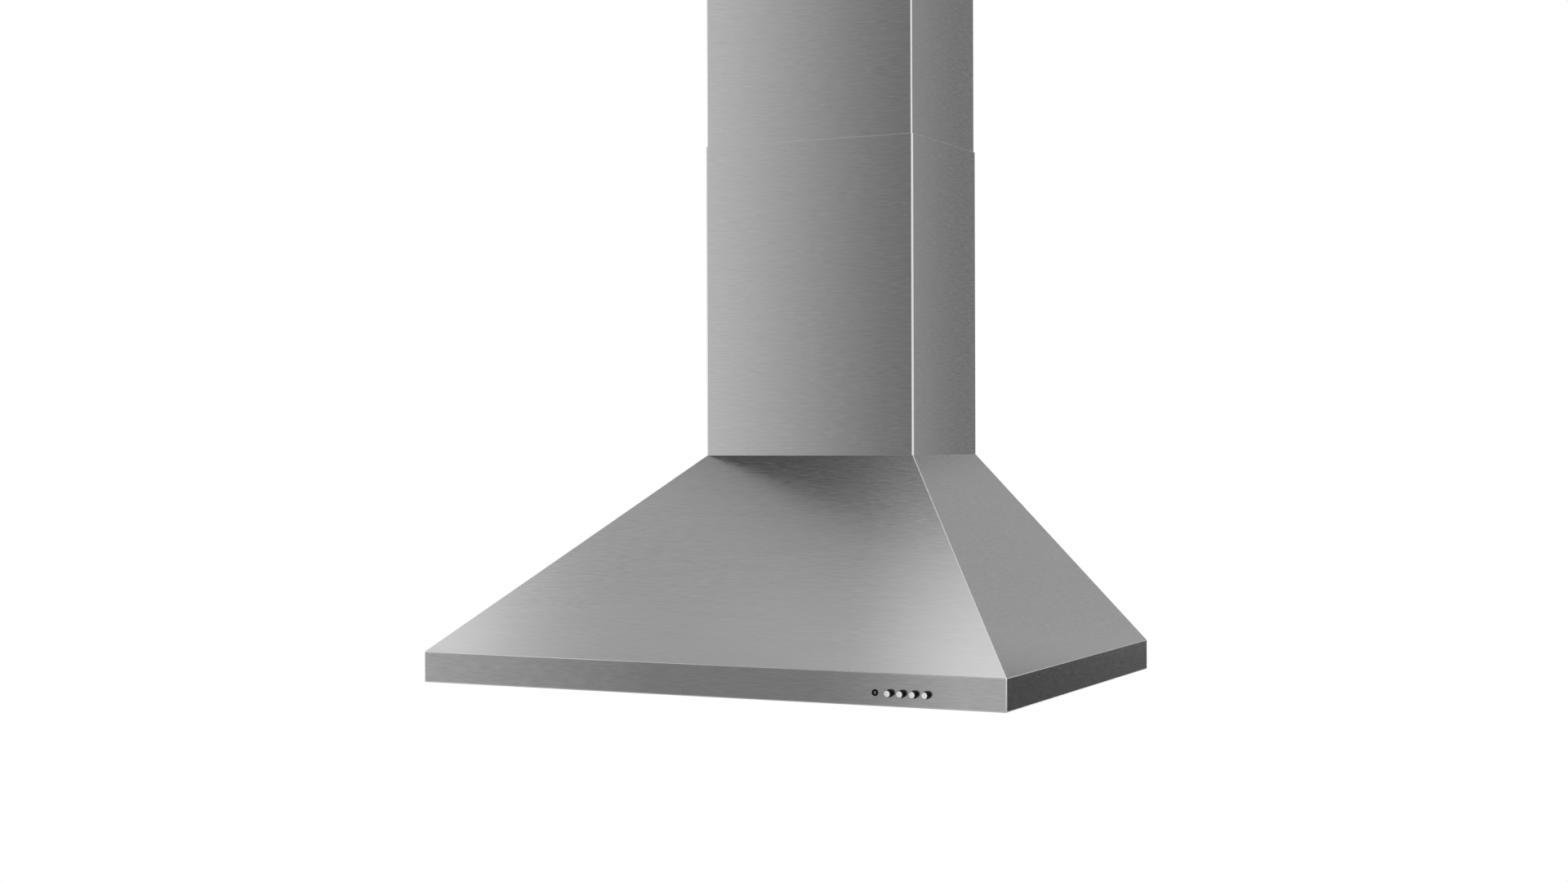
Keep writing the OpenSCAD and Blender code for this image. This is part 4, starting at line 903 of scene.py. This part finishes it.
def moved(tree, geometry, place=(0, 0, 0), turn=(0, 0, 0)):
    return add_node(tree, "GeometryNodeTransform", {"Geometry": geometry, "Translation": place,
                                                    "Rotation": turn}).outputs[0]


def joined(tree, *parts):
    made = add_node(tree, "GeometryNodeJoinGeometry")
    for part in parts:
        tree.links.new(part, made.inputs[0])
    return made.outputs[0]


def copied(tree, points, part, turn=(0, 0, 0)):
    """The part on each of the points."""
    return add_node(tree, "GeometryNodeInstanceOnPoints", {"Points": points, "Instance": part,
                                                           "Rotation": turn}).outputs[0]


def rod(tree, radius, length, sides):
    """A round bar along Z, with its middle at the origin."""
    return add_node(tree, "GeometryNodeMeshCylinder", {"Vertices": sides, "Radius": radius,
                                                       "Depth": length}).outputs[0]


def carved(tree, solid, *cutters):
    made = add_node(tree, "GeometryNodeMeshBoolean", {0: solid}, operation="DIFFERENCE", solver="EXACT")
    for cutter in cutters:
        tree.links.new(cutter, made.inputs[1])
    return made.outputs[0]


def swept(tree, path, width, height, turn=0.0):
    """A bar of rectangular section along a level path: width lies level and height upright."""
    flat = add_node(tree, "GeometryNodeSetCurveNormal", {0: path}, mode="Z_UP").outputs[0]
    section = add_node(tree, "GeometryNodeCurvePrimitiveQuadrilateral", {"Width": width, "Height": height})
    section = moved(tree, section.outputs[0], turn=spot(tree, z=turn))
    return add_node(tree, "GeometryNodeCurveToMesh", {"Curve": flat, "Profile Curve": section,
                                                      "Fill Caps": True}).outputs[0]


def air_slots(tree, size):
    """A column of round-ended bars across a side of the cover, to cut the air slots with."""
    bar = rod(tree, times(tree, size["Height"], 0.5), size["Reach"], sides=20)
    half = times(tree, maths(tree, "SUBTRACT", size["Length"], size["Height"]), 0.5)
    ends = [moved(tree, bar, spot(tree, y=times(tree, half, sign)), (0, math.pi / 2, 0)) for sign in (-1, 1)]
    solid = add_node(tree, "GeometryNodeConvexHull", {0: joined(tree, *ends)})
    line = add_node(tree, "GeometryNodeMeshLine", {"Count": size["Slots"], "Start Location": size["Top"],
                                                   "Offset": spot(tree, z=times(tree, size["Pitch"], -1))})
    return copied(tree, line.outputs[0], solid.outputs[0])


def pan_head_screws(tree, size):
    """A screw on each point of the base mesh, with its head towards the point's "way"."""
    head_r, head_h, length = size["Head Radius"], size["Head Height"], size["Length"]
    ball = add_node(tree, "GeometryNodeMeshUVSphere", {"Segments": 32, "Rings": 20, "Radius": 1.0})
    place = add_node(tree, "GeometryNodeInputPosition").outputs[0]
    split = add_node(tree, "ShaderNodeSeparateXYZ", {0: place}).outputs
    rise = times(tree, maths(tree, "MAXIMUM", split["Z"], 0), SHOULDER)
    pan = spot(tree, times(tree, split["X"], head_r), times(tree, split["Y"], head_r),
               times(tree, maths(tree, "MINIMUM", rise, 1), head_h))
    crown = add_node(tree, "GeometryNodeSetPosition", {"Geometry": ball.outputs[0], "Position": pan})
    wing = add_node(tree, "GeometryNodeMeshCube", {"Size": spot(
        tree, times(tree, head_r, CROSS_REACH), times(tree, head_r, CROSS_W),
        times(tree, head_h, CROSS_DEPTH))}).outputs[0]
    wings = [moved(tree, wing, spot(tree, z=head_h), (0, 0, turn)) for turn in (0, math.pi / 2)]
    shank = rod(tree, size["Shank Radius"], length, sides=20)
    shank = moved(tree, shank, spot(tree, z=times(tree, length, -0.5)))
    screw = joined(tree, carved(tree, crown.outputs[0], *wings), shank)
    way = add_node(tree, "GeometryNodeInputNamedAttribute", {"Name": "way"}, data_type="FLOAT_VECTOR")
    aim = add_node(tree, "FunctionNodeAlignRotationToVector", {"Vector": way.outputs[0]}, axis="Z")
    spin = add_node(tree, "FunctionNodeRandomValue", {"Max": math.pi / 2, "Seed": size["Seed"]},
                    data_type="FLOAT")
    drawn = [socket for socket in spin.outputs if socket.enabled][0]
    turn = add_node(tree, "FunctionNodeRotateRotation", {0: aim.outputs[0], 1: spot(tree, z=drawn)},
                    rotation_space="LOCAL")
    return copied(tree, size["Geometry"], screw, turn.outputs[0])


def blower_wheel(tree, size):
    """Curved blades round a disc and hub, with a ring at each end, about a line along Y."""
    line = add_node(tree, "GeometryNodeMeshLine", {"Count": size["Blade Steps"]}).outputs[0]
    index = add_node(tree, "GeometryNodeInputIndex").outputs[0]
    along = maths(tree, "DIVIDE", index, maths(tree, "SUBTRACT", size["Blade Steps"], 1))
    reach = maths(tree, "SUBTRACT", size["Outer Radius"], size["Inner Radius"])
    radius = maths(tree, "ADD", size["Inner Radius"], times(tree, reach, along))
    angle = times(tree, size["Sweep"], times(tree, along, along))
    curve = spot(tree, times(tree, radius, maths(tree, "COSINE", angle)),
                 times(tree, radius, maths(tree, "SINE", angle)))
    bent = add_node(tree, "GeometryNodeSetPosition", {"Geometry": line, "Position": curve})
    path = add_node(tree, "GeometryNodeMeshToCurve", {0: bent.outputs[0]}).outputs[0]
    blade = swept(tree, path, size["Blade Thickness"], size["Width"])
    ring_points = add_node(tree, "GeometryNodePoints", {"Count": size["Blades"]}).outputs[0]
    share = maths(tree, "DIVIDE", index, size["Blades"])
    blades = copied(tree, ring_points, blade, spot(tree, z=times(tree, share, math.tau)))
    middle = maths(tree, "SUBTRACT", size["Wheel Radius"], times(tree, size["Ring Width"], 0.5))
    circle = add_node(tree, "GeometryNodeCurvePrimitiveCircle", {"Resolution": 120, "Radius": middle})
    ring = swept(tree, circle.outputs[0], size["Ring Width"], size["Ring Thickness"])
    end = times(tree, maths(tree, "SUBTRACT", size["Width"], size["Ring Thickness"]), 0.5)
    rings = [moved(tree, ring, spot(tree, z=times(tree, end, sign))) for sign in (-1, 1)]
    disc = rod(tree, size["Disc Radius"], size["Disc Thickness"], sides=96)
    hub_l = maths(tree, "ADD", size["Hub Back"], size["Hub Front"])
    hub_z = times(tree, maths(tree, "SUBTRACT", size["Hub Front"], size["Hub Back"]), 0.5)
    hub = moved(tree, rod(tree, size["Hub Radius"], hub_l, sides=48), spot(tree, z=hub_z))
    solid = add_node(tree, "GeometryNodeMeshBoolean", operation="UNION", solver="EXACT")
    tree.links.new(disc, solid.inputs[1])
    tree.links.new(hub, solid.inputs[1])
    bore = rod(tree, size["Bore Radius"], size["Width"], sides=32)
    wheel = joined(tree, blades, *rings, carved(tree, solid.outputs[0], bore))
    return moved(tree, wheel, size["Centre"], (-math.pi / 2, 0, 0))


def expanded_mesh(tree, size):
    """Zigzag strands that meet at their corners, so that they leave rows of diamond holes."""
    index = add_node(tree, "GeometryNodeInputIndex").outputs[0]
    up = maths(tree, "SUBTRACT", times(tree, maths(tree, "MODULO", index, 2), 2), 1)
    half_w, half_h = times(tree, size["Cell Width"], 0.5), times(tree, size["Cell Height"], 0.5)
    line = add_node(tree, "GeometryNodeMeshLine", {"Count": size["Columns"], "Offset": spot(tree, half_w)})
    rows = []
    for sign in (-1, 1):
        swing = times(tree, times(tree, up, half_h), sign / 2)
        bent = add_node(tree, "GeometryNodeSetPosition", {"Geometry": line.outputs[0],
                                                          "Offset": spot(tree, y=swing)})
        path = add_node(tree, "GeometryNodeMeshToCurve", {0: bent.outputs[0]}).outputs[0]
        strand = swept(tree, path, size["Strand Width"], size["Strand Thickness"], size["Tilt"])
        first = add_node(tree, "ShaderNodeVectorMath", {0: size["Corner"], 1: spot(
            tree, y=times(tree, half_h, (sign + 1) / 2))}, operation="ADD").outputs[0]
        down = add_node(tree, "GeometryNodeMeshLine", {"Count": size["Rows"], "Start Location": first,
                                                       "Offset": spot(tree, y=size["Cell Height"])})
        rows.append(copied(tree, down.outputs[0], strand))
    return joined(tree, *rows)


# The other sub-parts

def chimney_cover(name, node, front_r, with_slots=False):
    """A cover bent from one sheet: a front, two sides and the flanges at the wall."""
    low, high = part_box(node)
    half, front, back = high.x, low.y, high.y
    corners = [Vector((-half + FLANGE_W, back)), Vector((-half, back)), Vector((-half, front)),
               Vector((half, front)), Vector((half, back)), Vector((half - FLANGE_W, back))]
    plan = bend(corners, [FLANGE_BEND_R, front_r, front_r, FLANGE_BEND_R], steps=6)
    rows = [[Vector((p.x, p.y, z)) for p in plan] for z in (low.z, high.z)]
    piece = bent_sheet(name, rows, Vector((0, front / 2, (low.z + high.z) / 2)))
    if with_slots:
        cutters = []
        for side in (-1, 1):
            top = (side * half, front / 2, high.z - SLOT_TOP_GAP)
            cutters.append(grow("slot_cutter", air_slots, "brushed_stainless", {
                "Slots": SLOT_COUNT, "Pitch": SLOT_PITCH, "Length": SLOT_L, "Height": SLOT_H,
                "Reach": CUTTER_REACH, "Top": top}))
            end = CUTTER_REACH / 2
            hole = lathe("cutter", [(0, -end), (FIXING_R, -end), (FIXING_R, end), (0, end)], Vector(),
                         steps=24)
            hole.data.transform(Matrix.Translation((side * half, -FIXING_SETBACK, high.z - FIXING_DROP))
                                @ Matrix.Rotation(math.pi / 2, 4, "Z"))
            cutters.append(hole)
        cut(piece, cutters)
    add_modifier(piece, "BEVEL", width=EDGE_ROUND, segments=4, limit_method="ANGLE",
                 angle_limit=HARD_EDGE)
    settle(piece)
    dress(piece, node, finish="brushed_cover")


def push_button(node):
    """A crowned satin disc set in a glossy black barrel, with its stop behind the rim and its stem."""
    low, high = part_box(node)
    centre = (low + high) / 2
    face, back = low.y + CAP_CROWN, low.y + CAP_DEPTH
    disc = [(CAP_R * i / CAP_STEPS, low.y + CAP_CROWN * (i / CAP_STEPS) ** 2)
            for i in range(CAP_STEPS + 1)]
    disc += [(CAP_R, back), (0, back)]
    dress(lathe(node + "_disc", disc, centre), node)
    bore = CAP_R + CAP_LINE
    stop = -(depth - SHEET - BUTTON_STOP_GAP)
    stop_back = stop + BUTTON_STOP_T
    barrel = [(0, back), (bore, back), (bore, face)]
    barrel += arc(BUTTON_R - BARREL_EDGE_R, face + BARREL_EDGE_R, BARREL_EDGE_R, -90, 0)
    barrel += [(BUTTON_R, stop), (BUTTON_STOP_R, stop), (BUTTON_STOP_R, stop_back), (STEM_R, stop_back),
               (STEM_R, high.y - CAP_LINE), (STEM_R - CAP_LINE, high.y), (0, high.y)]
    dress(lathe(node + "_barrel", barrel, centre), node, "black_plastic", "glossy_black")


def indicator():
    """A glossy black ring round a small crowned window."""
    low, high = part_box("indicator_bezel")
    outer = (high.x - low.x) / 2
    bevel_y, step_y = low.y + INDICATOR_BEVEL, low.y + INDICATOR_RING_T
    ring = [(INDICATOR_BORE_R, bevel_y), (INDICATOR_BORE_R + INDICATOR_BEVEL, low.y)]
    ring += arc(outer - INDICATOR_EDGE_R, low.y + INDICATOR_EDGE_R, INDICATOR_EDGE_R, -90, 0)
    ring += [(outer, step_y), (INDICATOR_BARREL_R, step_y), (INDICATOR_BARREL_R, high.y),
             (INDICATOR_BORE_R, high.y), (INDICATOR_BORE_R, bevel_y)]
    dress(lathe("indicator_ring", ring, (low + high) / 2), "indicator_bezel", finish="glossy_black")
    low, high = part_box("indicator_lens")
    radius = (high.x - low.x) / 2
    window = [(0, low.y)]
    for degrees in (20, 40, 60, 80):
        angle = math.radians(degrees)
        window.append((radius * math.sin(angle), low.y + WINDOW_CROWN * (1 - math.cos(angle))))
    window += [(radius, low.y + WINDOW_EDGE), (radius, high.y), (0, high.y)]
    dress(lathe("indicator_window", window, (low + high) / 2, steps=32), "indicator_lens")


def lamp(side):
    """A spun housing with a rounded bezel, and a pressed lens with fine rings on its face."""
    low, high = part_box("lamp_housing_" + side)
    outer = (high.x - low.x) / 2
    deck, inner_r, roof = low.z + LAMP_FLANGE, LAMP_CAN_R - LAMP_WALL, high.z - LAMP_WALL
    can = [(LAMP_BORE_R, deck), (LAMP_BORE_R, low.z + LAMP_EDGE_R / 2),
           (LAMP_BORE_R + LAMP_EDGE_R / 2, low.z)]
    can += arc(outer - LAMP_EDGE_R, low.z + LAMP_EDGE_R, LAMP_EDGE_R, -90, 0)
    can += [(outer, deck), (LAMP_CAN_R, deck)]
    can += arc(inner_r, roof, LAMP_WALL, 0, 90)
    can += [(0, high.z), (0, roof), (inner_r, roof), (inner_r, deck), (LAMP_BORE_R, deck)]
    piece = lathe("lamp_can_" + side, can, (low + high) / 2, steps=64, upright=True)
    dress(piece, "lamp_housing_" + side)
    low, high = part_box("lamp_lens_" + side)
    radius = (high.x - low.x) / 2
    glass = [(0, low.z - LENS_CROWN)]
    for k in range(1, int(radius * LENS_RINGS_REACH / LENS_RING_PITCH) + 1):
        r = k * LENS_RING_PITCH
        face = low.z - LENS_CROWN * (1 - (r / radius) ** 2)
        glass += [(r - LENS_RING_PITCH * LENS_RING_SLOPE, face + LENS_RING_DEPTH), (r, face)]
    glass += [(radius, low.z), (radius, high.z), (radius - LENS_T, high.z),
              (radius - 2 * LENS_T, low.z + LENS_T), (0, low.z + LENS_T)]
    piece = lathe("lamp_glass_" + side, glass, (low + high) / 2, steps=64, upright=True)
    dress(piece, "lamp_lens_" + side)


def loose_solids(mesh):
    """The separate solids of a mesh, each as its list of points."""
    bm = bmesh.new()
    bm.from_mesh(mesh)
    bmesh.ops.remove_doubles(bm, verts=bm.verts, dist=MERGE_GAP)
    seen, solids = set(), []
    for start in bm.verts:
        if start in seen:
            continue
        seen.add(start)
        edge_on, found = [start], []
        while edge_on:
            vert = edge_on.pop()
            found.append(vert.co.copy())
            for other in [edge.other_vert(vert) for edge in vert.link_edges]:
                if other not in seen:
                    seen.add(other)
                    edge_on.append(other)
        solids.append(found)
    bm.free()
    return solids


def corners_of(points):
    """Lowest and highest corner of the box round the points."""
    low = Vector([min(p[i] for p in points) for i in range(3)])
    high = Vector([max(p[i] for p in points) for i in range(3)])
    return low, high


def screws(node):
    """Pan-head screws in the place of a node's plain ones. Each one's seat and direction are read
    there, and their length, which is the same for all of a node's screws."""
    seats, ways = [], []
    for points in loose_solids(frame["nodes"][node].data):
        low, high = corners_of(points)
        size, middle = high - low, (low + high) / 2
        axis = max(range(3), key=lambda i: size[i])
        across = [i for i in range(3) if i != axis]
        wide = [p for p in points if math.hypot(*(p[i] - middle[i] for i in across)) > HEAD_FROM_R]
        sign = 1 if sum(p[axis] - middle[axis] for p in wide) > 0 else -1
        middle[axis] = (high if sign > 0 else low)[axis] - sign * SCREW_HEAD_H
        seats.append(middle)
        ways.append([sign if i == axis else 0 for i in range(3)])
        length = size[axis] - SCREW_HEAD_H
    base = bpy.data.meshes.new(node)
    base.from_pydata(seats, [], [])
    way = base.attributes.new("way", "FLOAT_VECTOR", "POINT")
    way.data.foreach_set("vector", [part for row in ways for part in row])
    piece = grow(node + "_pan_heads", pan_head_screws, "plated_screw", {
        "Head Radius": SCREW_HEAD_R, "Head Height": SCREW_HEAD_H, "Shank Radius": SCREW_R,
        "Length": length, "Seed": SCREW_SEED}, base)
    dress(piece, node)


def impeller():
    """The double-inlet wheel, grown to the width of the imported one."""
    low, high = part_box("impeller")
    piece = grow("blower_wheel", blower_wheel, node_slot["impeller"], {
        "Blades": BLADES, "Blade Steps": BLADE_STEPS, "Inner Radius": BLADE_INNER_R,
        "Outer Radius": BLADE_OUTER_R, "Sweep": -BLADE_SWEEP, "Blade Thickness": BLADE_T,
        "Width": high.y - low.y, "Wheel Radius": IMPELLER_R, "Ring Width": RING_W,
        "Ring Thickness": RING_T, "Disc Radius": DISC_R, "Disc Thickness": DISC_T, "Hub Radius": HUB_R,
        "Hub Back": HUB_BACK, "Hub Front": HUB_FRONT, "Bore Radius": HUB_BORE_R,
        "Centre": tuple((low + high) / 2)})
    dress(piece, "impeller")


def filter_mesh(side):
    """Layers of expanded aluminium in a filter's frame, a quarter of a cell apart along it."""
    node = "filter_grille_" + side
    low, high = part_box(node)
    width, length, height = high - low
    columns = int((width - 2 * STRAND_W) / (MESH_CELL_W / 2))
    rows = int((length - 2 * STRAND_W) / MESH_CELL_H) - 1
    for layer in range(MESH_LAYERS):
        x = low.x + (width - (columns - 1) * MESH_CELL_W / 2) / 2
        y = low.y + (length - (rows - 0.5) * MESH_CELL_H) / 2 + (layer - 0.5) * LAYER_SHIFT
        z = low.z + height * (layer + 0.5) / MESH_LAYERS
        piece = grow(f"{node}_layer_{layer + 1}", expanded_mesh, "filter_mesh", {
            "Columns": columns, "Rows": rows, "Cell Width": MESH_CELL_W, "Cell Height": MESH_CELL_H,
            "Strand Width": STRAND_W, "Strand Thickness": STRAND_T,
            "Tilt": STRAND_TILT * (1 - 2 * layer), "Corner": (x, y, z)})
        dress(piece, node)


def merged(node):
    """A node's mesh with its loose triangles joined."""
    bm = bmesh.new()
    bm.from_mesh(frame["nodes"][node].data)
    bmesh.ops.remove_doubles(bm, verts=bm.verts, dist=MERGE_GAP)
    return bm


def spring(node):
    """A spring that its joint presses together, towards the seat where it stands still."""
    piece = dress(from_bmesh(node + "_coil", merged(node)), node)
    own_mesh(piece)


def soften(node, width):
    """A copy of a node with eased edges, in the node's place."""
    bm = merged(node)
    bmesh.ops.dissolve_limit(bm, angle_limit=FLAT_ANGLE, verts=bm.verts, edges=bm.edges)
    piece = from_bmesh(node + "_eased", bm)
    add_modifier(piece, "BEVEL", width=width, segments=2, limit_method="ANGLE",
                 angle_limit=EASED_ANGLE, use_clamp_overlap=True)
    settle(piece)
    dress(piece, node)


camera_at_the_photograph()
white_surround()
pale_floor()
soft_box()
studio_cards()

canopy_front()
canopy_side(-1, "left")
canopy_side(1, "right")
chimney_cover("lower_cover_sheet", "lower_chimney_cover", CHIMNEY_BEND_R)
chimney_cover("upper_cover_sheet", "upper_chimney_cover", CHIMNEY_BEND_R - SHEET / 2, with_slots=True)
for name in BUTTONS:
    push_button(name)
indicator()
for side in ("left", "right"):
    lamp(side)
for side in ("left", "middle", "right"):
    filter_mesh(side)
for name in ("tray_screws", "blower_screws", "motor_screws"):
    screws(name)
for joint in frame["record"]["behaviour"]["joints"]:
    for end in joint.get("deforming_nodes", []):
        spring(end["node"])
impeller()

# Width of the eased edges of the other sub-parts, in millimetres
SOFTENED = {
    "underside_tray": 0.4, "canopy_back_panel": 0.3, "canopy_top_plate": 0.3, "wall_hangers": 0.4,
    "chimney_wall_bracket": 0.4, "blower_box": 0.3, "scroll_band": 0.25, "scroll_front_plate": 0.3,
    "scroll_rear_plate": 0.3, "motor_bracket": 0.5, "motor_bushes": 0.6, "motor_body": 0.8,
    "capacitor": 0.6, "capacitor_clip": 0.25, "terminal_box": 0.5, "terminal_lid": 0.5,
    "cable_gland": 0.4, "duct_collar": 0.4, "flap_left": 0.3, "flap_right": 0.3, "control_box": 0.4,
    "control_box_lid": 0.5, "switch_board": 0.2, "filter_frame_left": 0.35,
    "filter_frame_middle": 0.35, "filter_frame_right": 0.35, "filter_latch_left": 0.5,
    "filter_latch_middle": 0.5, "filter_latch_right": 0.5,
}
for node, width in SOFTENED.items():
    soften(node, width * MM)

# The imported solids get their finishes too, because the shaft stays as it is
for node, carried in frame["nodes"].items():
    carried.data.materials.clear()
    carried.data.materials.append(FINISHES[node_slot[node]])
